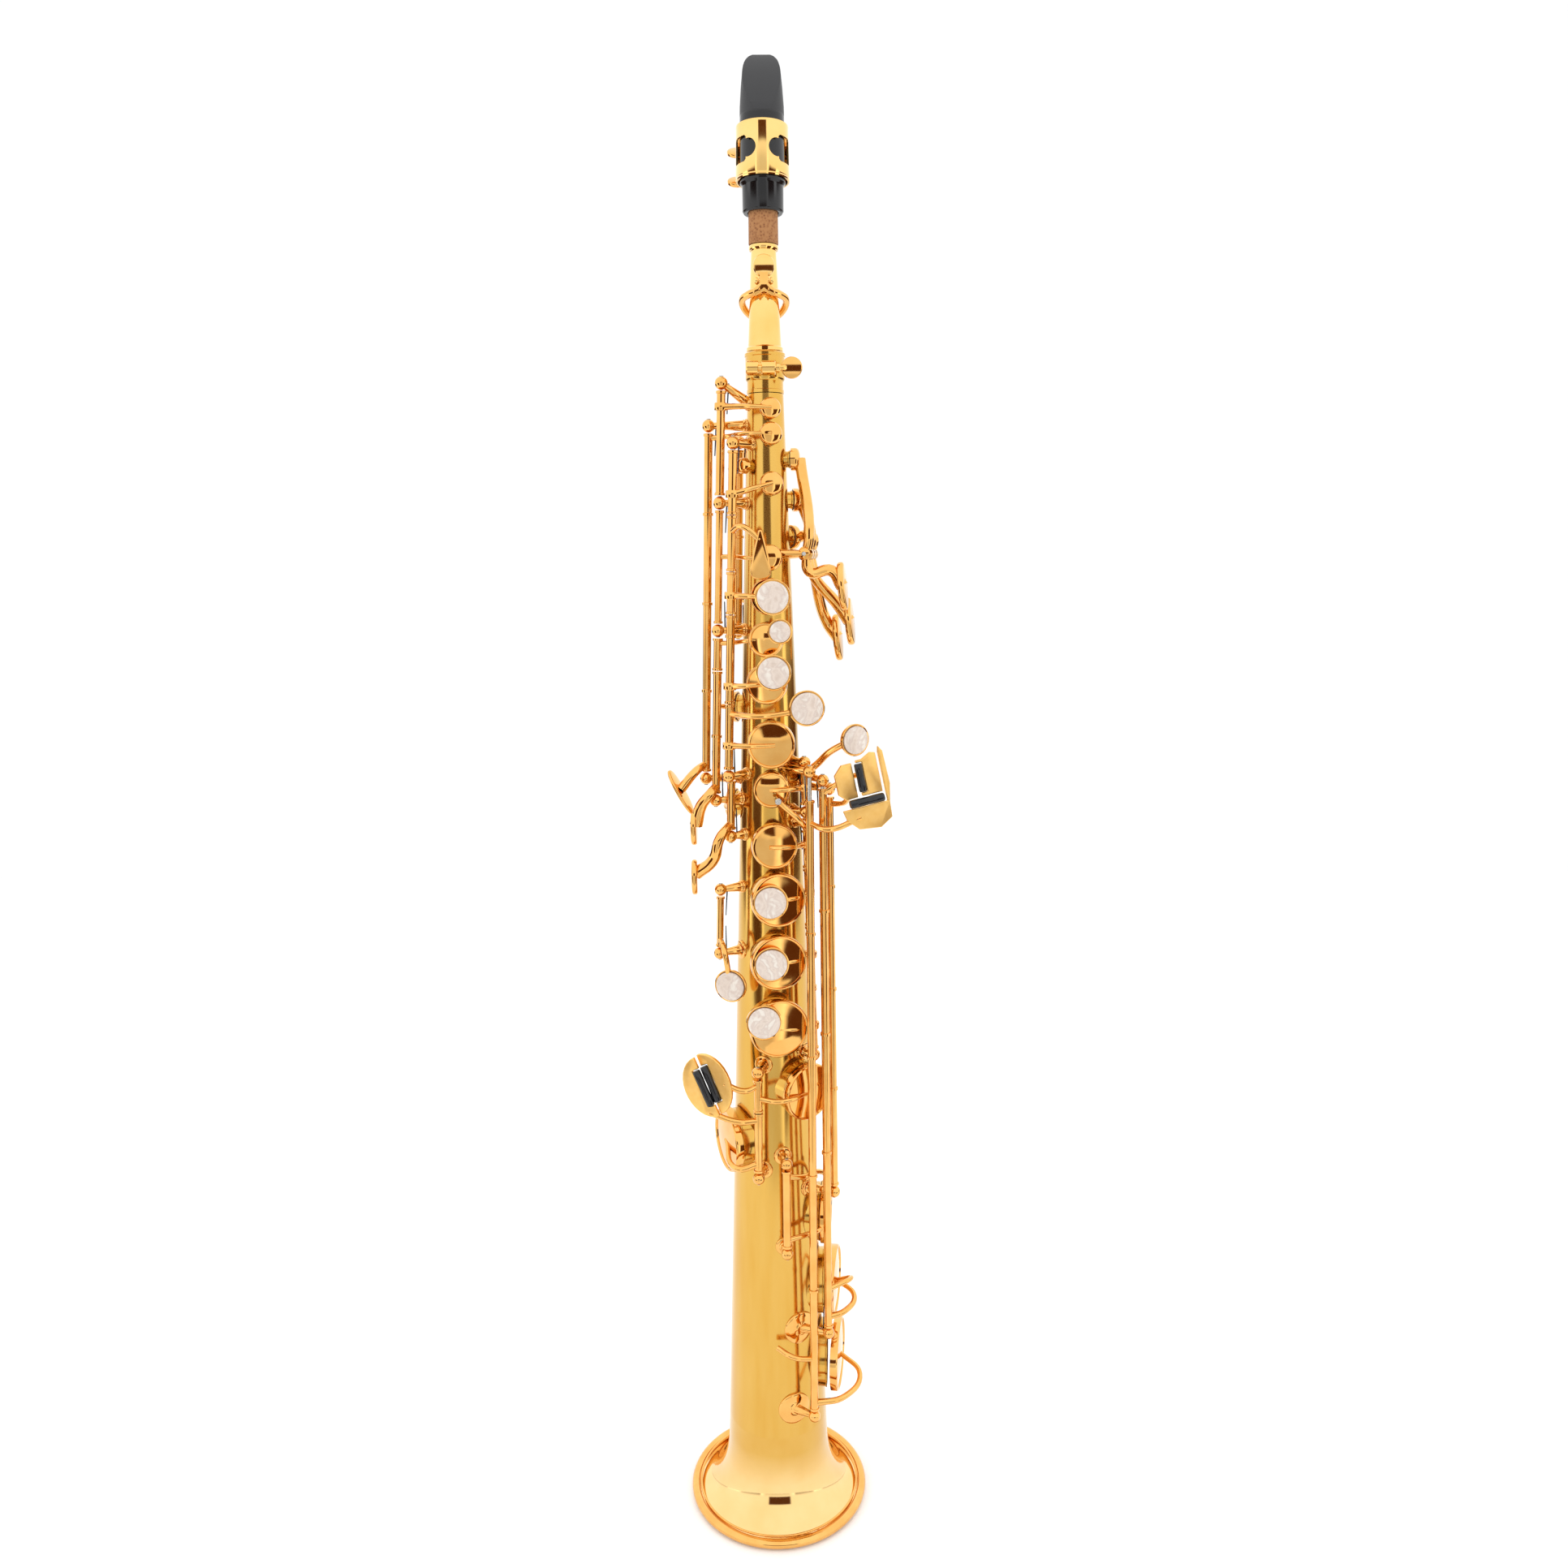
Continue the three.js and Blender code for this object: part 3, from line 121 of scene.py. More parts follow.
world = bpy.data.worlds.new("white_studio")
bpy.context.scene.world = world
world.use_nodes = True
sky = world.node_tree
sky.nodes.clear()
way = node(sky, "ShaderNodeTexCoord").outputs["Generated"]
split = node(sky, "ShaderNodeSeparateXYZ", {"Vector": way})
facing = node(sky, "ShaderNodeMath", {0: split.outputs["Y"], 1: split.outputs["X"]}, operation="ARCTAN2")
turn = node(sky, "ShaderNodeMapRange", {"Value": facing.outputs[0], "From Min": -math.pi, "From Max": math.pi})
grey = lambda v: [v, v, v, 1]
dim = [0.12, 0.045, 0.018, 1]
walls = ramp(sky, turn.outputs[0], [
    (0.0, 1.7), (0.03, 2.3), (0.045, 1.6), (0.055, dim), (0.15, dim), (0.16, 2.0),
    (0.18, 0.95), (0.22, 0.84), (0.3, 0.86), (0.325, 1.9), (0.335, dim), (0.425, dim),
    (0.435, 2.4), (0.475, 1.6), (0.485, dim), (0.61, dim), (0.65, 0.95), (0.84, 0.95),
    (0.87, dim), (0.965, dim), (0.975, 1.7), (1.0, 1.7)])
height = node(sky, "ShaderNodeMapRange", {"Value": split.outputs["Z"], "From Min": -0.06, "From Max": 0.03})
doorway = ramp(sky, turn.outputs[0], [(0.195, 0.0), (0.203, 1.0), (0.302, 1.0), (0.31, 0.0)])
lintel = ramp(sky, split.outputs["Z"], [(0.02, 0.0), (0.04, 1.0), (0.21, 1.0), (0.24, 0.0)])
shade = node(sky, "ShaderNodeMath", {0: doorway, 1: lintel}, operation="MULTIPLY")
above = node(sky, "ShaderNodeMix", {0: shade.outputs[0], 6: grey(1.3), 7: dim}, data_type="RGBA")
roof = node(sky, "ShaderNodeMix", {0: height.outputs[0], 6: walls, 7: above.outputs[2]}, data_type="RGBA")
room = node(sky, "ShaderNodeBackground", {"Color": roof.outputs[2], "Strength": 1.0})
fill = node(sky, "ShaderNodeBackground", {"Color": grey(1), "Strength": 1.12})
paper = node(sky, "ShaderNodeBackground", {"Color": grey(1), "Strength": 1.02})
seen = node(sky, "ShaderNodeLightPath")
soft = node(sky, "ShaderNodeMixShader",
            {0: seen.outputs["Is Diffuse Ray"], 1: room.outputs[0], 2: fill.outputs[0]})
both = node(sky, "ShaderNodeMixShader",
            {0: seen.outputs["Is Camera Ray"], 1: soft.outputs[0], 2: paper.outputs[0]})
node(sky, "ShaderNodeOutputWorld", {"Surface": both.outputs[0]})
bpy.context.scene.view_settings.view_transform = "Standard"


def deselect():
    bpy.ops.object.select_all(action="DESELECT")


def choose(piece):
    """Makes a piece the only one selected, and the active one."""
    deselect()
    piece.select_set(True)
    bpy.context.view_layer.objects.active = piece


def lamp(name, place, aim, size, power):
    """A soft box at a place in metres, aimed at a point."""
    deselect()
    bpy.ops.object.light_add(type="AREA", location=place)
    box = bpy.context.object
    box.name = name
    box.data.shape = "RECTANGLE"
    box.data.size, box.data.size_y = size
    box.data.energy = power
    box.visible_glossy = False
    box.rotation_euler = (Vector(aim) - Vector(place)).to_track_quat("-Z", "Y").to_euler()


lamp("soft_box_left", (-1.1, -0.75, 0.75), (0, 0, 0.35), (0.4, 1.2), 2.2)
lamp("soft_box_right", (1.1, -0.7, 0.7), (0, 0, 0.35), (0.4, 1.2), 1.8)
lamp("soft_box_top", (0, 0.1, 1.7), (0, 0, 0), (1.4, 1.4), 3)

white_paper, tree, shader, coords = finish("matte_white_paper")
fibre = noise(tree, coords, 900.0, 3.0)
tint(tree, shader, fibre, (0.3, "#FBFBFA"), (0.7, "#FEFEFE"))
preset(shader, roughness=0.95, specular_ior_level=0.0)
deselect()
paper_size, paper_back, paper_drop = 2.4, 0.78, 0.0006
bpy.ops.mesh.primitive_plane_add(size=paper_size, location=(0, paper_back, -paper_drop))
floor = bpy.context.object
floor.name = "white_paper_floor"
floor.data.materials.append(white_paper)

camera_back, camera_height, focal_length = 0.558, 0.481, 27.67
heading, tilt, roll = -0.664, 79.3, -0.60
bpy.ops.object.camera_add(location=(0, -camera_back, camera_height))
camera = bpy.context.object
camera.rotation_euler = (Matrix.Rotation(math.radians(heading), 3, "Z")
                         @ Matrix.Rotation(math.radians(tilt), 3, "X")
                         @ Matrix.Rotation(math.radians(roll), 3, "Z")).to_euler()
camera.data.sensor_width = 36
camera.data.lens = focal_length
camera.data.clip_start = 0.02
bpy.context.scene.camera = camera

# ---- Body tube: a drawn brass cone with soldered tone hole chimneys ----
# Yellow brass sheet 0.8 mm thick, seamed and drawn over a mandrel, buffed and sprayed with a clear
# lacquer that turns it a warm pale gold with soft, slightly blurred reflections.
lacquered_brass, tree, shader, coords = finish("satin_lacquered_yellow_brass")
stretch = node(tree, "ShaderNodeMapping", {"Vector": coords, "Scale": (1.0, 1.0, 0.12)})
buffing = noise(tree, stretch.outputs[0], 160.0, 5.0)
tint(tree, shader, buffing, (0.3, "#D7A64A"), (0.7, "#DCB059"))
roughen(tree, shader, buffing, 0.12, 0.19)
emboss(tree, shader, noise(tree, coords, 420.0, 2.0), 0.015, 0.0002)
preset(shader, metallic=1.0, coat_weight=0.15, coat_roughness=0.12)


def turned(material, profile, at=(0, 0, 0), along=(0, 0, 1), steps=32):
    """Spins a profile of (radius, height) about a line through a point."""
    deselect()
    bpy.ops.mesh.primitive_plane_add(size=MM, location=(0, 0, 0))
    bpy.ops.object.mode_set(mode="EDIT")
    bpy.ops.mesh.select_all(action="SELECT")
    bpy.ops.mesh.merge(type="CENTER")
    bpy.ops.transform.translate(value=(profile[0][0] * MM, 0, profile[0][1] * MM))
    for (r0, z0), (r1, z1) in zip(profile, profile[1:]):
        bpy.ops.mesh.extrude_vertices_move(
            TRANSFORM_OT_translate={"value": ((r1 - r0) * MM, 0, (z1 - z0) * MM)})
    bpy.ops.mesh.select_all(action="SELECT")
    bpy.ops.mesh.spin(steps=steps, angle=2 * math.pi, center=(0, 0, 0), axis=(0, 0, 1))
    bpy.ops.mesh.select_all(action="SELECT")
    bpy.ops.mesh.remove_doubles(threshold=2e-6)
    bpy.ops.mesh.normals_make_consistent(inside=False)
    bpy.ops.object.mode_set(mode="OBJECT")
    piece = bpy.context.object
    piece.matrix_world = (Matrix.Translation(Vector(at) * MM)
                          @ Vector(along).to_track_quat("Z", "Y").to_matrix().to_4x4())
    bpy.ops.object.transform_apply(location=True, rotation=True, scale=True)
    piece.data.materials.append(material)
    return piece


def apply_modifier(piece, kind, **settings):
    choose(piece)
    made = piece.modifiers.new(kind.lower(), kind)
    for key, value in settings.items():
        setattr(made, key, value)
    bpy.ops.object.modifier_apply(modifier=made.name)


def joined(parts):
    """Several parts joined into one mesh."""
    deselect()
    for part in parts:
        part.select_set(True)
    bpy.context.view_layer.objects.active = parts[0]
    if len(parts) > 1:
        bpy.ops.object.join()
    return bpy.context.object


def settle(parts, name, body, slot, *solids, smooth=38):
    """Joins parts into a named piece that rides on a body and stands for its solids."""
    piece = joined(parts)
    piece.name = piece.data.name = name
    bpy.ops.object.shade_smooth_by_angle(angle=math.radians(smooth))
    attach(piece, body)
    if solids:
        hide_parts(*solids)
    return piece


def around(z, angle, r):
    """A point at a height, an angle from the front and a distance from the axis."""
    turn = math.radians(angle)
    return Vector((r * math.sin(turn), -r * math.cos(turn), z))


cone_foot_radius, cone_slope = 26.56, 0.03355


def tube_radius(z):
    return cone_foot_radius - cone_slope * z


class Hole:
    """A tone hole: its height, its angle from the front, its bore and its rim."""

    def __init__(self, z, angle, bore, rise=2.0):
        self.z, self.angle, self.bore = z, angle, bore
        self.out = around(0, angle, 1)
        self.rim = tube_radius(z) + rise
        self.width = bore + 2.2

    def over(self, rise):
        return around(self.z, self.angle, self.rim + rise)


holes = {
    "high_f_sharp": Hole(544.5, 10, 2.4), "high_e": Hole(533.8, 10, 2.8), "palm_f": Hole(523.5, 82, 2.8),
    "octave_pip": Hole(520.5, -52, 1.3, 2.2), "high_f": Hole(512.5, 10, 3.0),
    "palm_e_flat": Hole(506, 100, 3.0), "palm_d": Hole(489.5, 124, 3.4), "high_c": Hole(480.4, 6, 3.6),
    "b": Hole(463.5, 3, 6.0), "bis": Hole(444.5, 0, 5.6), "a": Hole(424.8, -2, 7.0),
    "side_c": Hole(412, -104, 5.0), "g": Hole(397.4, 4, 8.6), "g_sharp": Hole(376.4, 2, 6.2),
    "side_b_flat": Hole(366, -104, 5.0), "f_sharp": Hole(350.6, 2, 8.4), "f": Hole(325.2, 6, 10.6),
    "e": Hole(295.4, 5, 11.0), "d": Hole(263.6, 4, 11.8), "low_c": Hole(229.5, 42, 11.6),
    "e_flat": Hole(200.5, -68, 13.6), "low_c_sharp": Hole(158, 82, 13.2), "low_b": Hole(119, 86, 15.0),
    "low_b_flat": Hole(78, 86, 15.6),
}
body_foot, body_top, wall = 46.0, 551.5, 0.8
rings = [body_foot + (body_top - body_foot) * i / 40 for i in range(41)]
body = turned(lacquered_brass, [(tube_radius(z), z) for z in rings]
              + [(tube_radius(z) - wall, z) for z in reversed(rings)] + [(tube_radius(body_foot), body_foot)],
              steps=96)
plugs = [turned(lacquered_brass, [(0, 0), (h.bore, 0), (h.bore, 14), (0, 14)], h.over(-9), h.out, 40)
         for h in holes.values()]
apply_modifier(body, "BOOLEAN", object=joined(plugs), operation="DIFFERENCE", solver="EXACT")
bpy.data.objects.remove(bpy.context.scene.objects[plugs[0].name])
chimneys = []
for h in holes.values():
    lip = 0.35 if h.bore > 2 else 0.2
    foot = -(h.rim - math.sqrt(max(tube_radius(h.z) ** 2 - (h.bore + 0.8) ** 2, 4)) + 0.3)
    chimneys.append(turned(lacquered_brass, [
        (h.bore, foot), (h.bore + 0.8, foot), (h.bore + 0.8, -0.9), (h.bore + 0.8 + lip, -0.55),
        (h.bore + 0.8 + lip, -0.15), (h.bore + 0.7, 0), (h.bore, -0.1), (h.bore, foot)],
                           h.over(0), h.out, 40))
settle([body] + chimneys, "drawn_body_tube", "body", "lacquered_brass", "body_tube", smooth=30)

# ---- Bell: spun brass flare with a rolled rim ----
# The flare is spun from one sheet and burnished glossier than the tube, with a painted highlight: its
# colour turns paler towards the rim. Its edge is rolled over a wire, and a thin bead runs just inside the
# roll. Neck parts are buffed to a mirror, keys a little redder.


def mirror_brass(name, scale, detail, dark, light):
    """Buffed brass under a thin hard lacquer, with its tree, its shader and its coordinates."""
    made, tree, shader, coords = finish(name)
    cloud = noise(tree, coords, scale, detail)
    tint(tree, shader, cloud, (0.3, dark), (0.7, light))
    roughen(tree, shader, cloud, 0.04, 0.09)
    preset(shader, metallic=1.0, coat_weight=0.3, coat_roughness=0.04)
    return made, tree, shader, coords


polished_brass, tree, shader, coords = mirror_brass(
    "polished_lacquered_brass", 60.0, 4.0, "#EFBE69", "#F6CD80")
emboss(tree, shader, noise(tree, coords, 90.0, 1.0), 0.06, 0.0006)
key_brass = mirror_brass("buffed_lacquered_brass", 130.0, 3.0, "#E6AA57", "#EFB968")[0]

# Painted highlight: below 36 mm the flare's colour fades from the tube's brass to a paler brass at 20 mm, and
# its roughness drops there too.
burnished_brass_painted_highlight, tree, shader, coords = finish("burnished_lacquered_brass_painted_highlight")
level = node(tree, "ShaderNodeSeparateXYZ", {"Vector": coords})
painted_highlight_and_gloss_fade = node(tree, "ShaderNodeMapRange", {"Value": level.outputs["Z"], "From Min": 0.036, "From Max": 0.02})
smear = noise(tree, coords, 60.0, 3.0)
upper = ramp(tree, smear, [(0.3, "#D7A64A"), (0.7, "#DCB059")])
# The pale brass of the painted highlight on the lower flare.
lower = ramp(tree, smear, [(0.3, "#ECC47E"), (0.7, "#F1CE8E")])
blend = node(tree, "ShaderNodeMix", {0: painted_highlight_and_gloss_fade.outputs[0], 6: upper, 7: lower}, data_type="RGBA")
tree.links.new(blend.outputs[2], shader.inputs["Base Color"])
roughen(tree, shader, painted_highlight_and_gloss_fade.outputs[0], 0.16, 0.045)
preset(shader, metallic=1.0, coat_weight=0.35, coat_roughness=0.1)

flare_top, bell_radius, rim_wire = 34.0, 43.4, 2.2


def flare(offset, count=14):
    """The flare's outline, from the cone down to the middle of the rim's wire."""
    start = tube_radius(flare_top)
    points = []
    for i in range(count + 1):
        turn = math.pi / 2 * i / count
        r = start + (bell_radius - start) * (1 - math.cos(turn))
        z = flare_top - (flare_top - rim_wire) * math.sin(turn)
        points.append((r - offset * math.cos(turn * 0.9), z - offset * math.sin(turn * 0.9)))
    return points


def wire(r, z, thick, count):
    """The round outline of a ring's wire."""
    turns = [2 * math.pi * i / count for i in range(count + 1)]
    return [(r + thick * math.cos(turn), z + thick * math.sin(turn)) for turn in turns]


neck_of_bell = tube_radius(body_foot)
bell_wall = turned(burnished_brass_painted_highlight, [(neck_of_bell, body_foot), *flare(0), *reversed(flare(wall)),
    (neck_of_bell - wall, body_foot), (neck_of_bell, body_foot)], steps=128)
bell_roll = turned(key_brass, wire(bell_radius, rim_wire, rim_wire, 20), steps=128)
bell_bead = turned(key_brass, wire(bell_radius - 2.7, 4.15, 0.55, 10), steps=128)
settle([bell_wall, bell_roll, bell_bead], "spun_bell", "body", "lacquered_brass", "bell", smooth=60)

# ---- Posts: turned brass ball posts on soldered flanges ----
# Each hinge line runs between ball posts. A slanting conical stem carries the ball, a thin round
# flange bent to the tube spreads its foot, and a steel pivot screw shows in the ball's end.
plated_steel, tree, shader, coords = finish("ground_nickelled_steel")
grind = noise(tree, coords, 1500.0, 2.0)
tint(tree, shader, grind, (0.3, "#A9A6A0"), (0.7, "#C4C1BB"))
preset(shader, metallic=1.0, roughness=0.24)


class Line:
    """A hinge line between two ends, each a height, an angle and a stand above the tube."""

    def __init__(self, top, bottom, posts):
        self.top = around(top[0], top[1], tube_radius(top[0]) + top[2])
        self.bottom = around(bottom[0], bottom[1], tube_radius(bottom[0]) + bottom[2])
        self.along = (self.top - self.bottom).normalized()
        self.posts = posts

    def at(self, z):
        return self.bottom.lerp(self.top, (z - self.bottom.z) / (self.top.z - self.bottom.z))


high_e_line = Line((538.4, -90, 17), (379, -88, 16.2), [538.4, 379])
upper_line = Line((555.6, -68, 12.8), (370, -70, 12.8), [(555.6, -68), 504.5, 448.2, 370])
left_line = Line((529.9, -48, 10.6), (382.3, -51, 10.6), [529.9, 382.3])
side_line = Line((380, -56, 7.8), (353.5, -56, 7.8), [353.5])
g_sharp_line = Line((388.5, 44, 9), (365.5, 44, 9), [388.5, 365.5])
right_line = Line((359.5, 52, 6.4), (246.5, 52, 6.4), [359.5, 246.5])
low_b_flat_line = Line((385.6, 36, 16.4), (61.8, 32, 9.6), [(385.6, 30), (61.8, 20)])
low_b_line = Line((381, 48, 18.2), (104.5, 46, 12.2), [(381, 90), (104.5, 30)])
lever_line = Line((376, 60, 17.2), (176.6, 58, 13.2), [(376, 76), (176.6, 50)])
pinky_line = Line((242.8, -15.5, 9.8), (189.6, -15.5, 9.0), [242.8, 189.6])
c_sharp_line = Line((196.8, 11, 8.6), (149.8, 11, 7.0), [196.8, 149.8])
f_sharp_line = Line((328, -63, 11.2), (297, -63, 11.2), [328, 297])
octave_line = Line((532, -128, 6.5), (446, -128, 6.5), [532, 446])
hinge_lines = [high_e_line, upper_line, left_line, side_line, g_sharp_line, right_line, low_b_flat_line,
               low_b_line, lever_line, pinky_line, c_sharp_line, f_sharp_line, octave_line]


def bar(material, a, b, r0, r1=None, edge=0.25, steps=20):
    """A round bar with eased ends, which may taper."""
    a, b = Vector(a), Vector(b)
    r1 = r0 if r1 is None else r1
    length = (b - a).length
    return turned(material, [(0, 0), (r0 - edge, 0), (r0, edge), (r1, length - edge), (r1 - edge, length),
                             (0, length)], a, b - a, steps)


def coin(r, half, ease):
    """The outline of a disc with eased edges."""
    return [(0, -half), (r - ease, -half), (r, ease - half), (r, half - ease), (r - ease, half), (0, half)]


def ball_profile(radius, count=10):
    turns = [math.pi * i / count for i in range(count + 1)]
    return [(radius * math.sin(turn), -radius * math.cos(turn)) for turn in turns]


highest_foot = 547.2
posts = []
for line in hinge_lines:
    for place in line.posts:
        z, angle = place if isinstance(place, tuple) else (place, None)
        centre = line.at(z)
        out = around(0, angle, 1) if angle is not None else Vector((centre.x, centre.y, 0)).normalized()
        foot = out * (tube_radius(z) - 0.4) + Vector((0, 0, min(z, highest_foot)))
        wide = 8.2 if z < 110 else 4.4 if tube_radius(z) > 16 else 3.0
        flange = turned(key_brass,
                        [(0, -0.6), (wide - 0.2, -0.6), (wide, -0.3), (wide, 0.9), (wide - 0.3, 1.15),
                         (wide * 0.75, 1.2), (wide * 0.5, 1.25), (2.8, 1.5), (2.4, 2.2), (0, 2.2)],
                        foot, out, 36)
        tangent = Vector((0, 0, 1)).cross(out)
        for vertex in flange.data.vertices:
            vertex.co -= out * (vertex.co.dot(tangent) ** 2 / (2 * tube_radius(z) * MM))
        posts.append(flange)
        posts.append(bar(key_brass, foot, foot.lerp(centre, 0.93), 2.5, 1.4))
        posts.append(turned(key_brass, ball_profile(2.9), centre, line.along, 24))
        end = 1 if centre.z > line.at((line.top.z + line.bottom.z) / 2).z else -1
        tip = centre + line.along * end * 2.62
        posts.append(turned(plated_steel, [(0, 0), (0.95, 0), (0.95, 0.32), (0.8, 0.42), (0, 0.42)], tip,
                            line.along * end, 16))
settle(posts, "ball_posts", "body", "lacquered_brass", smooth=50)

# ---- Keys: cups, hinge tubes, arms and touches ----
# Each key is a brass tube with a pressed cup, a cast arm and a touch silver-soldered on,
# then buffed to a mirror and lacquered. Pads are felt under tan leather in the cup's skirt.
tan_leather, tree, shader, coords = finish("oiled_kid_leather")
grain = node(tree, "ShaderNodeTexVoronoi", {"Vector": coords, "Scale": 1400.0})
tint(tree, shader, grain.outputs["Distance"], (0.1, "#8A5A34"), (0.7, "#B07C4C"))
emboss(tree, shader, grain.outputs["Distance"], 0.3, 0.0002)
preset(shader, roughness=0.62)

# Shell is cut from the inner layer of an oyster: cloudy white with pinkish and grey growth bands.
mother_of_pearl, tree, shader, coords = finish("polished_mother_of_pearl")
drift = node(tree, "ShaderNodeTexNoise", {"Vector": coords, "Scale": 150.0, "Detail": 3.0, "Distortion": 2.4})
bands = node(tree, "ShaderNodeTexWave", {"Vector": coords, "Scale": 42.0, "Distortion": 14.0, "Detail": 2.0})
growth = node(tree, "ShaderNodeMix", {0: 0.28, 2: drift.outputs["Fac"], 3: bands.outputs["Fac"]})
tint(tree, shader, growth.outputs[0], (0.25, "#C9B7A9"), (0.42, "#D8C9BC"), (0.55, "#CBBAAE"), (0.7, "#DFD6CB"))
preset(shader, roughness=0.3, coat_weight=0.5, coat_roughness=0.08)

joints = {joint["child"]: joint for joint in frame["joints"]}
stands_open = {"high_c_key", "b_key", "bis_key", "a_key", "g_key", "f_sharp_key", "f_key", "e_key", "d_key",
               "low_b_key", "low_b_flat_key", "low_c_key"}


def opened(piece, body):
    """Turns a piece drawn closed to where its key rests open."""
    joint = joints[body]
    about = Matrix.Translation(Vector(joint["pos_m"]))
    swing = Matrix.Rotation(-math.radians(joint["range_deg"][1]), 4, Vector(joint["axis"]))
    choose(piece)
    piece.matrix_world = about @ swing @ about.inverted()
    bpy.ops.object.transform_apply(location=True, rotation=True, scale=True)


def cup(hole):
    """A key cup with its raised rim over a tone hole, and the pad inside it."""
    r, h = hole.width, 3.8
    if hole.bore < 4:
        crown = [(r, h - 1.9), (r - 0.25, h - 1.2), (r * 0.82, h - 0.45), (r * 0.5, h + 0.05), (0, h + 0.25)]
    else:
        crown = [(r, h - 1.0), (r - 0.2, h - 0.35), (r - 0.6, h - 0.05), (r - 1.05, h - 0.2),
                 (r - 1.35, h - 0.75), (r * 0.75, h - 0.55), (r * 0.5, h - 0.1), (r * 0.25, h + 0.16),
                 (0, h + 0.25)]
    shell = turned(key_brass, [(0, 1.1), (r - 0.6, 1.1), (r - 0.6, 0), (r, 0)] + crown, hole.over(0.4),
                   hole.out, 48)
    pad = turned(tan_leather, [(0, -0.2), (r - 1.3, -0.2), (r - 0.8, 0.1), (r - 0.65, 0.6), (r - 0.65, 1.2),
                               (0, 1.2)], hole.over(0.4), hole.out, 40)
    return [shell, pad]


def hinge(line, z1, z0, r=1.9, collars=()):
    """A hinge tube with turned end collars, and more collars where asked."""
    length = (line.at(z1) - line.at(z0)).length - 0.35
    profile = [(0, 0), (r + 0.25, 0), (r + 0.45, 0.2), (r + 0.45, 1.0), (r + 0.25, 1.2), (r, 1.25)]
    for z in sorted(collars):
        mid = (z - z0) / (z1 - z0) * length
        profile += [(r, mid - 0.8), (r + 0.5, mid - 0.6), (r + 0.5, mid + 0.6), (r, mid + 0.8)]
    profile += [(r, length - 1.25), (r + 0.25, length - 1.2), (r + 0.45, length - 1.0),
                (r + 0.45, length - 0.2), (r + 0.25, length), (0, length)]
    return turned(key_brass, profile, line.at(z0) + line.along * 0.175, line.along, 24)


def arm(points, thick=1.35, thin=None, material=None):
    """A cast arm that sweeps through its points and may taper."""
    thin = thick if thin is None else thin
    deselect()
    bpy.ops.curve.primitive_bezier_curve_add(location=(0, 0, 0))
    path = bpy.context.object
    path.data.splines.clear()
    spline = path.data.splines.new("BEZIER")
    spline.bezier_points.add(len(points) - 1)
    for i, (knot, point) in enumerate(zip(spline.bezier_points, points)):
        knot.co = Vector(point) * MM
        knot.radius = thick + (thin - thick) * i / (len(points) - 1)
    bpy.ops.object.mode_set(mode="EDIT")
    bpy.ops.curve.select_all(action="SELECT")
    bpy.ops.curve.handle_type_set(type="AUTOMATIC")
    bpy.ops.object.mode_set(mode="OBJECT")
    path.data.bevel_depth = MM
    path.data.bevel_resolution = 3
    path.data.resolution_u = 8
    path.data.use_fill_caps = True
    bpy.ops.object.convert(target="MESH")
    made = bpy.context.object
    made.data.materials.clear()
    made.data.materials.append(material or key_brass)
    return made


def cup_arm(line, z, hole, past):
    """An arm from the hinge tube over the cup's rim to its middle, ending in a boss."""
    start, crown = line.at(z), hole.over(4.2 if hole.bore < 4 else 3.7)
    flat = crown - start
    flat.z = 0
    end = crown + flat.normalized() * past
    ring = turned(key_brass, [(1.5, -1.6), (2.75, -1.6), (2.95, -1.3), (2.95, 1.3), (2.75, 1.6), (1.5, 1.6)],
                  line.at(z), line.along, 24)
    return [arm([start, start.lerp(end, 0.5) + hole.out * 2.6, end], 1.5, 0.9), ring]


front_plane = (1, 0, 0), (0, 0, 1)
side_plane = (0, 1, 0), (0, 0, 1)


def plate(outline, centre, across, along, thickness=2.0, edge=0.45, material=None):
    """A sheet touch: an outline in the plane of two directions, with eased edges."""
    deselect()
    bpy.ops.mesh.primitive_circle_add(vertices=len(outline), radius=MM, fill_type="NGON", location=(0, 0, 0))
    made = bpy.context.object
    for vertex, (x, y) in zip(made.data.vertices, outline):
        vertex.co = (x * MM, y * MM, 0)
    apply_modifier(made, "SOLIDIFY", thickness=thickness * MM, offset=0)
    apply_modifier(made, "BEVEL", width=edge * MM, segments=3, limit_method="ANGLE",
                   angle_limit=math.radians(50))
    bpy.ops.object.mode_set(mode="EDIT")
    bpy.ops.mesh.select_all(action="SELECT")
    bpy.ops.mesh.normals_make_consistent(inside=False)
    bpy.ops.object.mode_set(mode="OBJECT")
    across, along = Vector(across).normalized(), Vector(along).normalized()
    normal = across.cross(along).normalized()
    basis = Matrix((across, along, normal)).transposed().to_4x4()
    made.matrix_world = Matrix.Translation(Vector(centre) * MM) @ basis
    bpy.ops.object.transform_apply(location=True, rotation=True, scale=True)
    made.data.materials.append(material or key_brass)
    return made


def oval(rx, ry, count=32):
    turns = [2 * math.pi * i / count for i in range(count)]
    return [(rx * math.cos(turn), ry * math.sin(turn)) for turn in turns]


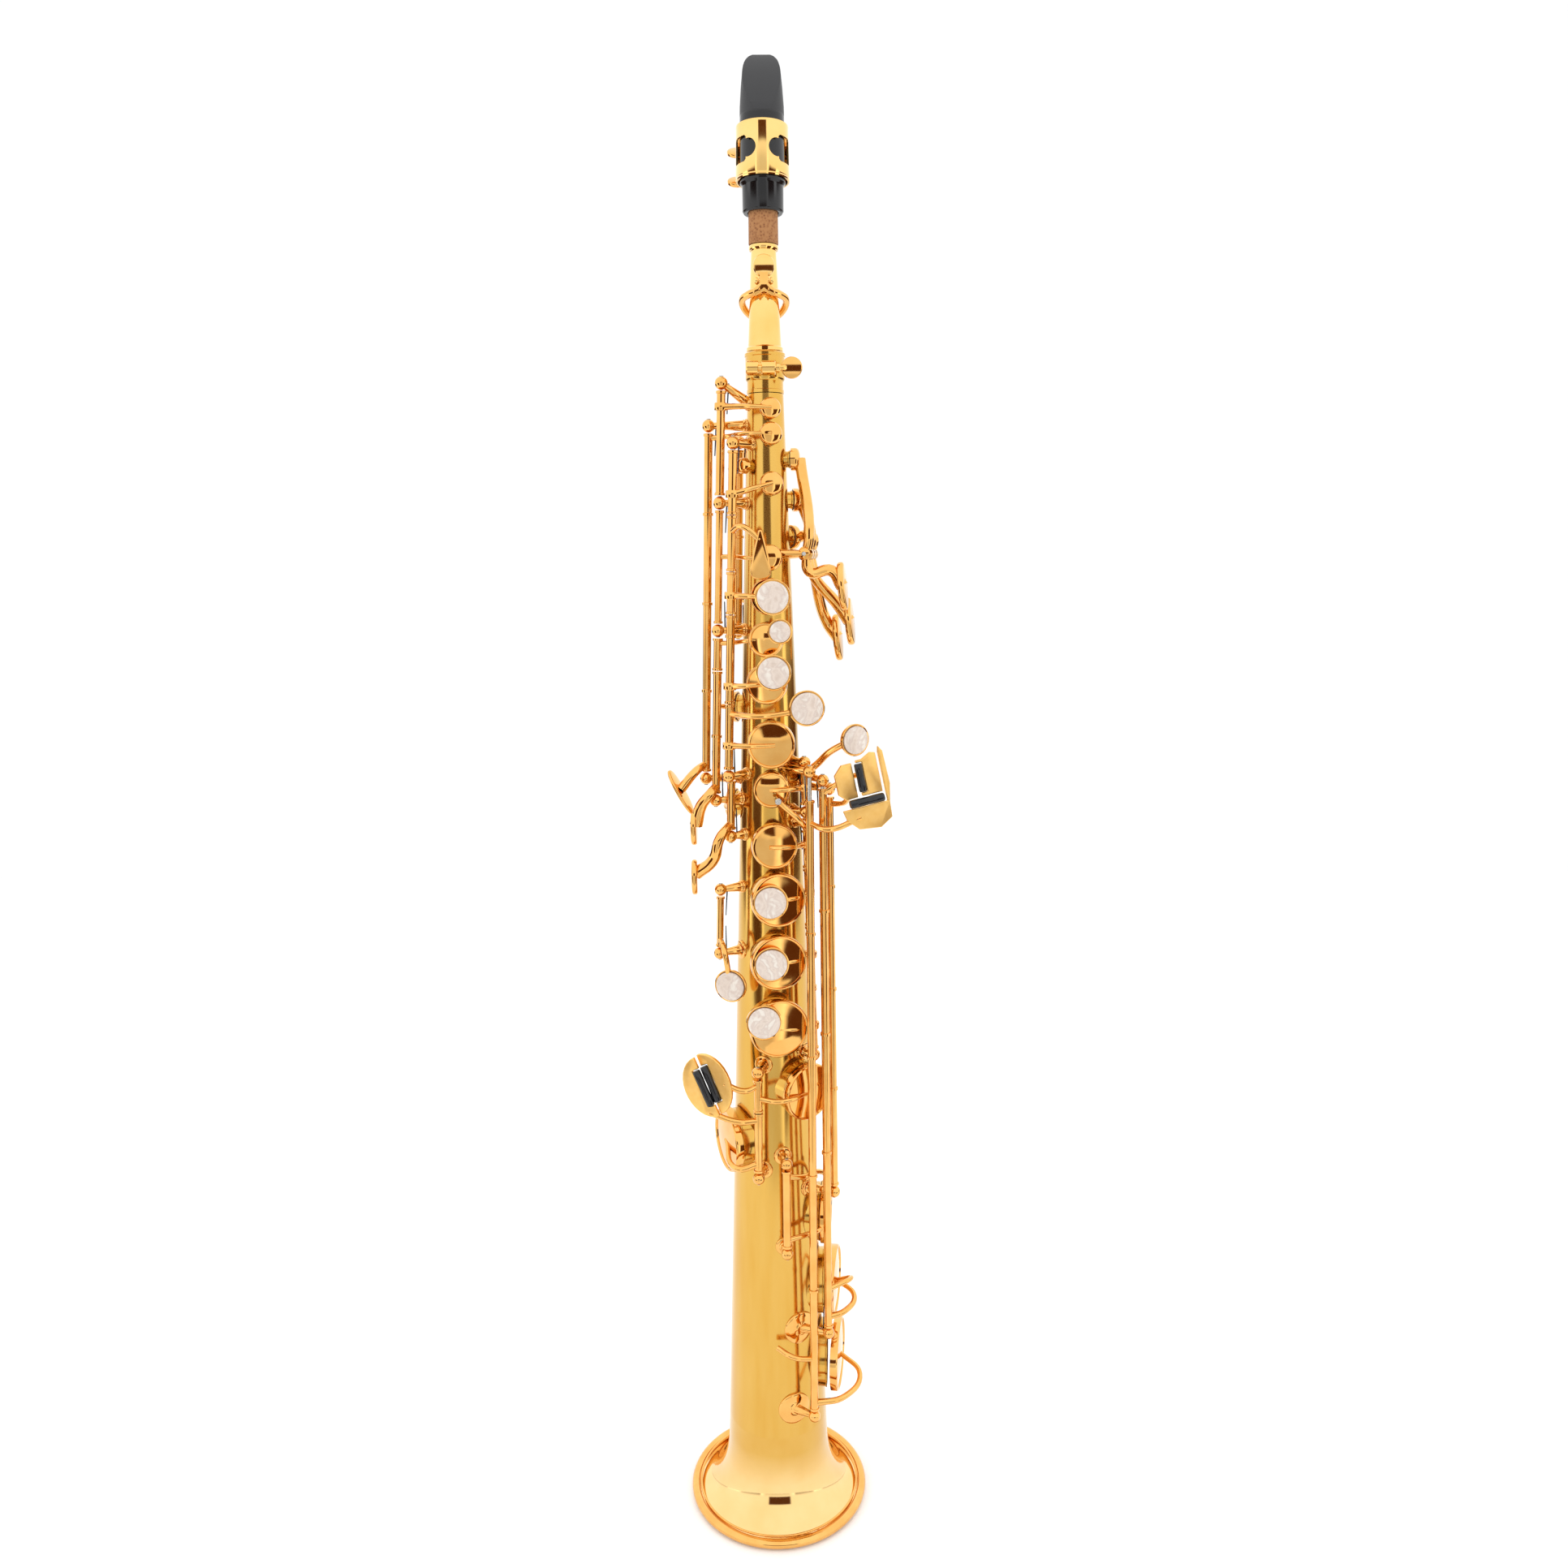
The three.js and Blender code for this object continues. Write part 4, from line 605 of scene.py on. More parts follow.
def key(name, line, z1, z0, parts, hole=None, pearl=None, r=1.9, collars=(), cup_from=None, past=0):
    """One key. pearl is (x, y, z, radius, angle, stem), cup_from the height where a plain cup arm starts."""
    made = [hinge(line, z1, z0, r, collars)]
    if cup_from:
        made += cup_arm(line, cup_from, holes[hole], past)
    for part in parts:
        made += part if isinstance(part, list) else [part]
    if hole:
        made += cup(holes[hole])
    if pearl:
        x, y, z, pr, angle, stem = pearl
        at, out = Vector((x, y, z)), around(0, angle, 1)
        made.append(turned(key_brass, [
            (0, -2.6 - stem), (2.2, -2.6 - stem), (1.9, -2.9), (pr * 0.5, -2.6), (pr + 0.55, -2.1),
            (pr + 0.98, -1.3), (pr + 0.98, -0.15), (pr + 0.7, 0.05), (pr + 0.3, -0.1), (pr + 0.3, -0.8),
            (0, -0.8)], at, out, 48))
    piece = settle(made, name + "_lacquered", name, "lacquered_keys", name)
    if name in stands_open:
        opened(piece, name)
    if pearl:
        shell = name.rsplit("_", 1)[0] + "_pearl"
        disc = turned(mother_of_pearl, [
            (0, -0.5), (pr, -0.5), (pr, 0.55), (pr - 0.25, 0.85), (pr - 0.8, 1.02), (0, 1.08)], at, out, 48)
        disc = settle([disc], shell + "_disc", name, "pearl", shell)
        if name in stands_open:
            opened(disc, name)
    return piece


def mm(*v):
    """A point or a direction, in millimetres."""
    return Vector(v)


# ---- Upper stack: high keys, front F, C, B, bis, A and G ----
# The left hand's keys share a rod at the player's right of the tube. The high F sharp, high E and C
# cups are small domes on long arms; the others have a dished crown with a raised rim.
key("high_f_sharp_key", upper_line, 552.5, 507.6, [], "high_f_sharp", cup_from=545.6)
key("high_e_key", high_e_line, 535.2, 382.2, [
    arm([high_e_line.at(533), around(533.6, -84, 17.2), around(533.8, -40, 15.6), holes["high_e"].over(4.1)],
        1.3, 0.8),
    arm([high_e_line.at(386), mm(-34.5, -5, 383), mm(-41.4, -7, 375)], 1.7, 2.4),
    plate(oval(4.4, 11.6), mm(-41.6, -7, 373.6), (-0.35, -0.94, 0), (0.62, 0, -1), 1.6, 0.6)],
    "high_e", collars=(500, 460, 420))
key("high_f_cup_key", left_line, 526.8, 499, [], "high_f", cup_from=508)
key("front_f_key", left_line, 499, 474.5, [
    arm([left_line.at(492), mm(-11, -20.6, 494), mm(-3, -22.8, 488)], 1.5, 1.2),
    plate([(-4.2, -8.6), (-2.8, -10), (0, -10.5), (2.8, -10), (4.2, -8.6), (4.6, -6.4), (3.4, 0), (0.9, 10.4),
           (0, 11.3), (-0.9, 10.4), (-3.4, 0), (-4.6, -6.4)],
          mm(-3, -22.8, 481.5), *front_plane, 2.0, 0.7)])
key("high_c_key", upper_line, 501.5, 451.2, [
    arm([upper_line.at(481), around(481, -58, 17.4), around(480.4, -28, 16.2), holes["high_c"].over(4)],
        1.2, 0.8)], "high_c", r=1.6)
key("b_key", left_line, 474.5, 455.5, [], "b", (3.6, -23.4, 463.4, 6.9, 4, 4), cup_from=464)
key("bis_key", upper_line, 445, 430, [
    arm([upper_line.at(442.5), around(442.8, -58, 18.4), around(444, -28, 17.6), holes["bis"].over(3.7)],
        1.2, 0.9)], "bis", (7, -22.4, 448.4, 4.6, 12, 3))
key("a_key", left_line, 455.5, 415.5, [], "a", (3.6, -24.4, 430.4, 6.9, 4, 3.4),
    collars=(446,), cup_from=423.5)
key("g_key", left_line, 415.5, 385.4,
    [arm([left_line.at(411), mm(-2, -26, 411.4), mm(17.6, -24, 414)], 1.4, 1.2)], "g",
    (18.6, -26.4, 415, 7, 16, 0), cup_from=396.5, past=2)

# ---- Side keys, G sharp and the right hand stack ----
# The right hand's side levers end in oval touches at the player's right. F sharp, F, E and D share a
# rod at the other side, and the G sharp lever is a bent strap with its own pearl.
key("side_c_key", upper_line, 430, 373.2, [
    arm([upper_line.at(414), around(413, -84, 22), holes["side_c"].over(3.7)]),
    arm([upper_line.at(376.5), mm(-27.5, -13.4, 374), mm(-32, -12.4, 368), mm(-34.6, -10.8, 359)], 2.0, 3.2),
    plate(oval(5.2, 8.2), mm(-35.6, -10.8, 357.4), (0.06, 1, 0), (0, 0, 1), 2.6, 1.0)], "side_c",
    collars=(400,))
key("side_b_flat_key", side_line, 380, 356.7, [
    arm([side_line.at(366), around(366, -84, 21), holes["side_b_flat"].over(3.7)]),
    arm([side_line.at(359.6), mm(-23.4, -17.6, 354), mm(-27, -15.6, 343), mm(-34.8, -12.4, 336)], 2.0, 3.2),
    plate(oval(5.2, 8.4), mm(-35.8, -12.4, 334.2), *side_plane, 2.6, 1.0)], "side_b_flat")
key("g_sharp_key", g_sharp_line, 385.3, 368.7,
    [arm([g_sharp_line.at(383.4), mm(20.6, -16.4, 387), mm(27, -24.4, 394.6),
          mm(37.8, -34, 401.2) - around(0, 30, 2)], 1.8, 1.5)], "g_sharp", (37.8, -34, 401.2, 6.2, 30, 0),
    cup_from=377, past=1)
bridge = arm([right_line.at(353.6), around(361, 30, 26.6), around(372.6, 4, 25.4)], 1.5, 1.3)
bridge_screw = turned(plated_steel, [
    (0, 0), (1.0, 0), (1.0, 4.4), (1.5, 4.5), (1.5, 5.6), (1.2, 5.9), (0, 5.9)],
    around(372.8, 3, 21.4), around(0, 3, 1), 20)
key("f_sharp_key", right_line, 356.4, 338, [bridge, bridge_screw], "f_sharp", cup_from=349.5, past=3)
key("f_key", right_line, 338, 310.2, [], "f", (-2.4, -25.6, 325.6, 7.2, -2, 3), cup_from=326.4)
key("e_key", right_line, 310.2, 280, [], "e", (-2.4, -26.6, 296.4, 7.2, -2, 3), cup_from=296.4)
key("d_key", right_line, 280, 249.6, [], "d", (-6.2, -27.4, 268.8, 7.4, -4, 3), cup_from=261.4)
key("high_f_sharp_lever", f_sharp_line, 324.8, 300.2, [
    arm([f_sharp_line.at(304), mm(-22.6, -19, 301), mm(-20.4, -18.4, 286)], 1.4)], None,
    (-20, -19.6, 283, 6.9, -20, 0), r=1.6)

# ---- Left little finger table and the low keys on their long tubes ----
# Low C sharp, B and B flat touches are flat sheet plates, satin where fingers run, with black rollers
# between them. Their hinge tubes run half the length of the body.
satin_brass, tree, shader, coords = finish("brushed_lacquered_brass")
brush = noise(tree, coords, 420.0, 4.0)
tint(tree, shader, brush, (0.3, "#F8C56E"), (0.7, "#FDCE7C"))
preset(shader, metallic=1.0, roughness=0.36)


class Board:
    """The plane that little finger plates lie in: its middle, its outer side and its upper edge."""

    def __init__(self, centre, out, up):
        self.centre, self.out = centre, out.normalized()
        self.up = (up - self.out * up.dot(self.out)).normalized()
        self.across = self.up.cross(self.out)

    def at(self, x, y, out=0.0):
        return self.centre + self.across * x + self.up * y + self.out * out

    def plate(self, outline, edge=0.35):
        return plate(outline, self.centre, self.across, self.up, 2.0, edge, satin_brass)


table = Board(mm(42, -29, 380.6), mm(0.3, -0.95, 0.1), mm(-0.2, 0, 1))
key("low_c_sharp_lever", lever_line, 372.6, 180, [
    table.plate([(-13, -2), (-10, -5), (-4.3, -5), (-4.3, 10.8), (-9, 10.8), (-13, 7)]),
    arm([lever_line.at(369), mm(31, -18.6, 369.6), mm(34, -25.4, 372), table.at(-8, -2)], 1.4),
    arm([lever_line.at(185), around(186, 62, 31)])], collars=(330, 280, 230))
key("low_b_key", low_b_line, 377.6, 107.8, [
    table.plate([(-1.2, -4.9), (8.4, -4.9), (8.4, 13), (6, 13.6), (1.6, 11.4), (-1.2, 11.4), (-1.2, 10.2),
                 (1.6, 10.2), (1.6, -3.3), (-1.2, -3.3)]),
    arm([low_b_line.at(374.8), mm(29, -24, 379), mm(39, -24, 384), table.at(5, 4)], 1.3),
    arm([low_b_line.at(113), mm(33.4, -21.5, 115), mm(37.6, -12, 117), holes["low_b"].over(4)], 1.6, 1.2),
    arm([low_b_line.at(128), mm(36, -16, 129), holes["low_b"].over(3.8)], 1.3, 1.0)], "low_b",
    collars=(320, 260, 200))
key("low_b_flat_key", low_b_flat_line, 372.6, 65.2, [
    table.plate([(-11.6, -9.4), (-10.6, -14), (-6, -19), (4, -20.4), (10, -17), (10.4, -10), (12, -2),
                 (11.6, 13), (10, 15.6), (9.4, 13), (9.4, -9.4)]),
    arm([low_b_flat_line.at(362), mm(27, -32.6, 361), table.at(-4, -14)], 1.4),
    arm([low_b_flat_line.at(69), mm(33, -24, 70), mm(40, -12.4, 74), holes["low_b_flat"].over(4)], 1.6, 1.2),
    arm([low_b_flat_line.at(93), mm(8, -32, 96), mm(0, -29.4, 99)])], "low_b_flat",
    collars=(310, 250, 190, 130))
key("low_c_sharp_key", c_sharp_line, 193.6, 153, [
    arm([c_sharp_line.at(190), around(187.6, 30, 27.2), around(186.6, 52, 27.2), around(178, 70, 27.8),
         holes["low_c_sharp"].over(3.8)], 1.4, 1.1),
    arm([c_sharp_line.at(157), around(157, 32, 27.6), around(157, 52, 28.4), holes["low_c_sharp"].over(3.8)],
        1.4, 1.1)], "low_c_sharp")

# ---- Right little finger touches: low C and E flat ----
# Two half ovals that face each other, each with a roller along its straight side.
pinky = Board(mm(-31, -28, 237), mm(-0.34, -0.94, 0.05), mm(-0.42, 0.14, 0.9))


def half_touch(side):
    rim = [(side * (0.6 + 11.4 * math.cos(math.radians(-90 + 12 * i))),
            15 * math.sin(math.radians(-90 + 12 * i))) for i in range(16)]
    window = [(side * x, y) for x, y in ((0.6, 9.3), (4.2, 9.3), (4.2, -9.3), (0.6, -9.3))]
    return pinky.plate(rim + window, 0.4)


key("low_c_key", pinky_line, 239.6, 223, [
    half_touch(1), arm([pinky_line.at(236.4), mm(-13.5, -31, 235.4), pinky.at(8, -2)], 1.4),
    arm([pinky_line.at(230), mm(3, -30, 230), holes["low_c"].over(3.8)], 1.4, 1.1)], "low_c")
key("e_flat_key", pinky_line, 223, 192.8, [
    half_touch(-1), arm([pinky_line.at(219), mm(-17, -30.6, 220), pinky.at(-5, -12)], 1.5),
    arm([pinky_line.at(197), mm(-18, -28.4, 195), holes["e_flat"].over(3.8)], 1.6, 1.2)], "e_flat")

# ---- Rollers: black moulded resin barrels ----
# They turn under the finger as it slides from touch to touch. Each is a waisted barrel, glossy black.
black_resin, tree, shader, coords = finish("moulded_black_acetal")
speck = noise(tree, coords, 700.0, 2.0)
tint(tree, shader, speck, (0.3, "#0C0C0E"), (0.7, "#18181B"))
preset(shader, roughness=0.16)


def roller(name, body_from, centre, direction, length, r):
    half = length / 2
    barrel = turned(black_resin, [(0, -half), (r - 0.4, -half), (r - 0.05, -half + 0.5), (r, -half * 0.5),
                                  (r - 0.12, -0.4), (r - 0.12, 0.4), (r, half * 0.5), (r - 0.05, half - 0.5),
                                  (r - 0.4, half), (0, half)],
                    centre, direction, 28)
    piece = settle([barrel], name + "_barrel", name, "black_plastic", name)
    if body_from in stands_open:
        opened(piece, body_from)


roller("left_roller_upper", "low_b_key", table.at(-0.4, 3.45, 0.9), table.up, 12.8, 1.9)
roller("left_roller_lower", "low_b_flat_key", table.at(0, -7.2, 0.9), table.across, 16, 2.0)
roller("right_roller_inner", "low_c_key", pinky.at(2.1, 0, 0.9), pinky.up, 17.8, 1.95)
roller("right_roller_outer", "e_flat_key", pinky.at(-2.1, 0, 0.9), pinky.up, 17.8, 1.95)

# ---- Palm keys: three cast levers on one pin between two soldered ears ----
# The left palm opens high D, E flat and F. Each lever curves out from its hub to a long oval touch.
palm_out, palm_across = around(0, 76, 1), around(0, 166, 1)
palm_z = 482
palm_pivot = around(palm_z, 76, tube_radius(palm_z) + 8.6)


def palm_point(offset, out, rise):
    spot = palm_pivot + palm_across * offset + palm_out * out
    spot.z = palm_z + rise
    return spot


def palm_key(name, offset, hole, touch):
    hub = turned(key_brass, [(1.4, -1.8), (2.2, -1.8), (3.4, -1.5), (3.4, 1.5), (3.0, 1.8), (1.4, 1.8),
                             (1.4, -1.8)], palm_point(offset, 0, 0), palm_across, 28)
    elbow = touch - palm_out * 5
    elbow.z = touch.z + 7
    upper = arm([palm_point(offset, 0, 0), palm_point(offset, 1.4, 7), hole.over(4.2)], 2.1, 2.7)
    lower = arm([palm_point(offset, 0, 0), palm_point(offset, 1.6, -8), elbow, touch], 2.1, 3.0)
    down = mm(0.1, 0, -1)
    down = (down - palm_across * down.dot(palm_across)).normalized()
    paddle = plate(oval(5.4, 10.8), touch, palm_across, down, 3.0, 1.1)
    settle([hub, upper, lower, paddle, *cup(hole)], name + "_lacquered", name, "lacquered_keys", name)


palm_key("palm_f_key", -4.6, holes["palm_f"], mm(33.4, -12.6, 467.5))
palm_key("palm_e_flat_key", 0, holes["palm_e_flat"], mm(37.2, -3, 451.5))
palm_key("palm_d_key", 4.6, holes["palm_d"], mm(32.4, 8.4, 443.5))
ears = []
for offset in (-8.6, 8.6):
    ears.append(bar(key_brass, palm_point(offset * 0.85, -11, 0), palm_point(offset, 0, 0), 2.3, 1.2))
    ears.append(turned(key_brass, coin(2.6, 0.9, 0.3), palm_point(offset, 0, 0), palm_across, 28))
settle(ears, "palm_key_ears", "body", "lacquered_brass", smooth=50)

# ---- Octave key, thumb rest and thumb hook at the back ----
# The left thumb rolls from the rest to the octave touch. The right thumb carries the weight under a
# curled hook soldered to the body, and a small ring between them takes the strap.
thumb_touch = around(458, 168, 18.6)
key("octave_key", octave_line, 528.8, 449.2, [
    arm([octave_line.at(519), around(520, -92, 16.4), holes["octave_pip"].over(3.2)], 1.1, 0.9),
    arm([octave_line.at(462), around(460, -156, 18.6), thumb_touch], 1.5, 1.3),
    plate(oval(5.4, 8), thumb_touch, around(0, 258, 1), (0, 0, 1), 2.0, 0.7),
    arm([octave_line.at(521), around(530, -150, 17.6), around(552, -170, 14.6), around(580.8, -180, 13)],
        1.3, 1.1)], "octave_pip", collars=(490,))
rest_z = 438
button = turned(black_resin, [(0, 0), (6.2, 0), (6.2, 1.6), (5.9, 2.3), (5.0, 2.9), (0, 3.3)],
                around(rest_z, 180, tube_radius(rest_z) + 0.3), around(0, 180, 1), 40)
settle([button], "thumb_rest_button", "body", "black_plastic", "thumb_rest")
hook_z, curl_z = 284, 296
hook_in = tube_radius(hook_z) + 0.3


def curl(r, first):
    """Points of the hook's curl at a distance from its middle, from an angle down to its tip."""
    return [(hook_in + 12 + r * math.cos(math.radians(a)), curl_z + r * math.sin(math.radians(a)))
            for a in range(first, 30, -15)]


hook = plate([(hook_in, hook_z), (hook_in + 2, hook_z), (hook_in + 2, curl_z), *curl(10, 165),
              *reversed(curl(11, 180)), (hook_in - 0.4, curl_z + 10), (hook_in - 0.4, hook_z + 6)],
             (0, 0, 0), *side_plane, 14, 0.5)
settle([hook], "thumb_hook_casting", "body", "lacquered_brass", "thumb_hook")
ring_z = 352
ring_at = around(ring_z, 180, tube_radius(ring_z) + 6.2)
loop = turned(key_brass, wire(5.2, 0, 1.3, 14), ring_at, (1, 0, 0), 40)
ring_foot = bar(key_brass, around(ring_z, 180, tube_radius(ring_z) - 0.4),
                around(ring_z, 180, tube_radius(ring_z) + 1.2), 3.2, 2.4)
settle([loop, ring_foot], "soldered_strap_ring", "body", "lacquered_brass", "strap_ring")

# ---- Neck receiver with its clamp screw ----
# A turned sleeve with two lugs at the front. A thumbscrew through them draws it tight on the neck's
# tenon.
lug_z, lug_y = 561.3, -11.2
sleeve = turned(lacquered_brass, [
    (6.9, 551.8), (tube_radius(body_top) + 0.25, 551.8), (tube_radius(body_top) + 0.25, 553.2), (8.05, 553.4),
    (8.05, 556.9), (8.6, 557.6), (8.7, 558.2), (8.7, 567.2), (9.0, 567.5), (9.0, 568.6), (8.2, 569.3),
    (6.9, 569.3), (6.9, 551.8)], steps=64)
left_lug = turned(polished_brass, [(0, -8.2), (2.7, -8.2), (3.1, -7.8), (3.1, -3.2), (2.8, -2.9), (0, -2.9)],
                  (0, lug_y, lug_z), (1, 0, 0), 32)
right_lug = turned(polished_brass, [(0, -1.5), (2.8, -1.5), (3.1, -1.2), (3.1, 4.2), (2.7, 4.6), (0, 4.6)],
                   (0, lug_y, lug_z), (1, 0, 0), 32)
web = plate([(-7.2, -2.4), (3.8, -2.4), (3.8, 2.4), (-7.2, 2.4)],
            (0, -9, lug_z), *front_plane, 4.6, 0.4)
settle([sleeve, left_lug, right_lug, web], "split_neck_receiver", "body", "lacquered_brass", "neck_receiver",
       smooth=35)
screw = [turned(polished_brass, [
    (0, -6), (1.15, -6), (1.15, 4.8), (2.2, 4.9), (2.2, 6.2), (1.4, 6.3), (1.2, 7.2), (1.6, 8.6),
    (1.1, 9.4), (0, 9.4)], (0, lug_y, lug_z), (1, 0, 0), 24),
         plate(oval(4.6, 4.6, 40), (11.6, lug_y, lug_z), *front_plane, 1.8, 0.5)]
settle(screw, "neck_clamp_thumbscrew", "neck_screw", "lacquered_brass", "neck_screw")

# ---- Neck, its cork and its octave key ----
# The neck is a short straight cone with a turned collar. Its top carries a glued cork sleeve, and a
# sprung loop closes the small octave vent on its front.
neck_foot, neck_top = 569.6, 613.5


def neck_radius(z):
    return 7.3 + (5.4 - 7.3) * (z - neck_foot) / (neck_top - neck_foot)


pip_z = 603.5
neck = turned(polished_brass, [
    (5.8, 554.6), (6.6, 554.6), (6.6, 569.6), (8.1, 569.6), (8.1, 571.0), (7.9, 571.2), (7.45, 571.6),
    (7.3, 573.0), (5.4, 613.2), (5.2, 650.4), (4.4, 650.5), (4.4, 613.5), (5.8, 554.6)], steps=64)
bead = turned(polished_brass, [(5.3, 611.4), (6.2, 611.5), (6.45, 612.0), (6.45, 612.9), (6.2, 613.4),
                               (5.3, 613.5), (5.3, 611.4)], steps=64)
pip = bar(polished_brass, around(pip_z, 0, neck_radius(pip_z) - 0.6),
          around(pip_z, 0, neck_radius(pip_z) + 2), 1.9)
pivot_y, pivot_z = -neck_radius(597.4) - 2.9, 597.4
saddle = [bar(polished_brass, (s * 3.3, pivot_y + 4.2, pivot_z), (s * 3.3, pivot_y, pivot_z), 0.8, 0.7)
          for s in (-1, 1)]
saddle += [turned(polished_brass, coin(1.4, 0.6, 0.2), (s * 3.3, pivot_y, pivot_z), (1, 0, 0), 20)
           for s in (-1, 1)]
settle([neck, bead, pip] + saddle, "neck_cone", "neck", "lacquered_brass", "neck_tube")

bark, tree, shader, coords = finish("sanded_natural_cork")
lumps = node(tree, "ShaderNodeTexVoronoi", {"Vector": coords, "Scale": 900.0, "Randomness": 1.0})
pores = noise(tree, coords, 1600.0, 4.0)
tint(tree, shader, lumps.outputs["Distance"], (0.06, "#3E2617"), (0.13, "#7E5130"), (0.3, "#99663E"),
     (0.7, "#A9774B"))
emboss(tree, shader, pores, 0.5, 0.0003)
preset(shader, roughness=0.85)
settle([turned(bark, [
    (5.72, 613.8), (6.3, 613.8), (6.45, 614.2), (6.22, 648.4), (5.8, 650.4), (5.55, 650.4), (5.72, 613.8)],
    steps=64)], "neck_cork_sleeve", "neck", "cork", "neck_cork")

vent = neck_radius(pip_z) + 2.4
lever = [turned(polished_brass, [(0, 0), (4.7, 0), (4.7, 1.4), (4.4, 1.9), (2.4, 2.25), (0, 2.3)],
                around(pip_z, 0, vent), around(0, 0, 1), 36),
         plate([(-5, -6.4), (-3.6, -7), (0, -5), (3.6, -7), (5, -6.4), (4.4, -4), (1.9, -1.6), (1.9, 4),
                (-1.9, 4), (-1.9, -1.6), (-4.4, -4)],
               around(pip_z - 5.4, 0, vent + 1.2), *front_plane, 1.9, 0.5),
         bar(polished_brass, (-2.4, pivot_y, pivot_z), (2.4, pivot_y, pivot_z), 1.2)]
for s in (1, -1):
    lever.append(arm([around(pip_z - 9.8, 6 * s, vent + 1.2), around(pip_z - 11, 52 * s, vent + 0.6),
                      around(pip_z - 12.5, 90 * s, vent + 1.4), around(pip_z - 16.5, 132 * s, vent + 1.4),
                      around(pip_z - 18.5, 178 * s, vent + 4.6)], 1.6))
settle(lever, "neck_octave_loop", "neck_octave_key", "lacquered_keys", "neck_octave_key")

# ---- Mouthpiece, reed and ligature ----
# The mouthpiece is turned and faced from hard rubber rod, glossy with a satin beak. The cane reed is
# clamped on its flat table by a brass band with two thumbscrews.
hard_rubber, tree, shader, coords = finish("turned_hard_rubber")
high = node(tree, "ShaderNodeSeparateXYZ", {"Vector": coords})
beak = node(tree, "ShaderNodeMapRange", {"Value": high.outputs["Z"], "From Min": 0.6645, "From Max": 0.6658})
tint(tree, shader, beak.outputs[0], (0.0, "#0B0B0D"), (1.0, "#2A2A2C"))
roughen(tree, shader, beak.outputs[0], 0.14, 0.5)
emboss(tree, shader, noise(tree, coords, 500.0, 3.0), 0.05, 0.0002)

top, foot, beak_foot = 691.5, 626.5, 665
blank = turned(hard_rubber, [
    (6.75, 653), (6.75, foot + 0.3), (7.1, foot), (8.3, foot), (8.9, foot + 0.8), (8.9, foot + 10.6),
    (9.2, foot + 11.2), (9.85, foot + 12.0), (9.9, foot + 12.8), (9.5, beak_foot), (9.4, 669), (8.9, 676),
    (8.1, 683.5), (7.4, 688.6), (6.8, 690.6), (6.0, top), (0, top)], steps=80)
flat = [(-14, foot - 2), (-14, beak_foot), (-9.6, beak_foot)]
for i in range(1, 17):
    t = i / 16
    flat.append(((1 - t) ** 2 * -9.6 + 2 * t * (1 - t) * -3.4 + t * t * 4.9,
                 (1 - t) ** 2 * beak_foot + 2 * t * (1 - t) * 680.5 + t * t * (top - 0.2)))
flat += [(5.4, top), (6.5, top), (7.2, 681.5), (7.6, 671.5), (7.6, 637.5), (14, 637.5), (14, foot - 2)]
slab = plate(flat, (0, 0, 0), *side_plane, 40, 0.05, hard_rubber)
apply_modifier(blank, "BOOLEAN", object=slab, operation="INTERSECT", solver="EXACT")
bpy.data.objects.remove(slab)
apply_modifier(blank, "BEVEL", width=0.35 * MM, segments=2, limit_method="ANGLE", angle_limit=math.radians(32))
settle([blank], "hard_rubber_mouthpiece", "mouthpiece", "ebonite", "mouthpiece", smooth=40)

reed_cane, tree, shader, coords = finish("shaved_cane")
pull = node(tree, "ShaderNodeMapping", {"Vector": coords, "Scale": (1.0, 1.0, 0.04)})
fibres = noise(tree, pull.outputs[0], 1800.0, 4.0)
tint(tree, shader, fibres, (0.3, "#C9A55C"), (0.7, "#E8CF94"))
preset(shader, roughness=0.55)
reed_side = [(7.9, 637.8), (10.3, 637.8), (10.8, 640.4), (10.8, 666.5), (10.4, 668), (9.2, 678.5), (8.5, 686.5),
             (8.25, 691.1), (7.9, 691.1)]
settle([plate(reed_side, (0, 0, 0), *side_plane, 12.4, 0.25, reed_cane)], "cane_reed", "mouthpiece",
       "cane", "reed")

lig_foot, lig_top, window_z = 639.7, 661.5, 650.6
band = turned(polished_brass, [(10.5, lig_foot), (11.15, lig_foot), (11.35, lig_foot + 0.5),
                               (11.15, lig_foot + 1.1), (11.3, lig_foot + 1.5), (10.95, lig_top - 1.4),
                               (11.05, lig_top - 0.9), (10.95, lig_top), (10.2, lig_top), (10.5, lig_foot)],
              steps=96)
band.scale = (1.03, 1.17, 1)
band.location = (0, 1.9 * MM, 0)
choose(band)
bpy.ops.object.transform_apply(location=True, rotation=True, scale=True)
cuts = []
for side in (-1, 1):
    cuts.append(plate([(-4.5, -4.4), (-3.6, -5.2), (3.6, -5.2), (4.5, -4.4), (4.5, 4.4), (3.6, 5.2),
                       (-3.6, 5.2), (-4.5, 4.4)],
                      around(window_z, side * 64, 11.5), around(0, side * 64 + 90, 1), (0, 0, 1), 9, 0.1))
    cuts.append(bar(polished_brass, around(window_z, side * 34, 6), around(window_z, side * 34, 16), 3.7,
                    steps=40))
cuts.append(plate([(-1.5, -14), (1.5, -14), (1.5, 14), (-1.5, 14)], (0, 15.5, window_z), *front_plane,
                  5, 0.05))
cuts = joined(cuts)
apply_modifier(band, "BOOLEAN", object=cuts, operation="DIFFERENCE", solver="EXACT", use_self=True)
bpy.data.objects.remove(cuts)
lugs = [band]
screw_heights = {"upper": lig_foot + 16.6, "lower": lig_foot + 4.6}
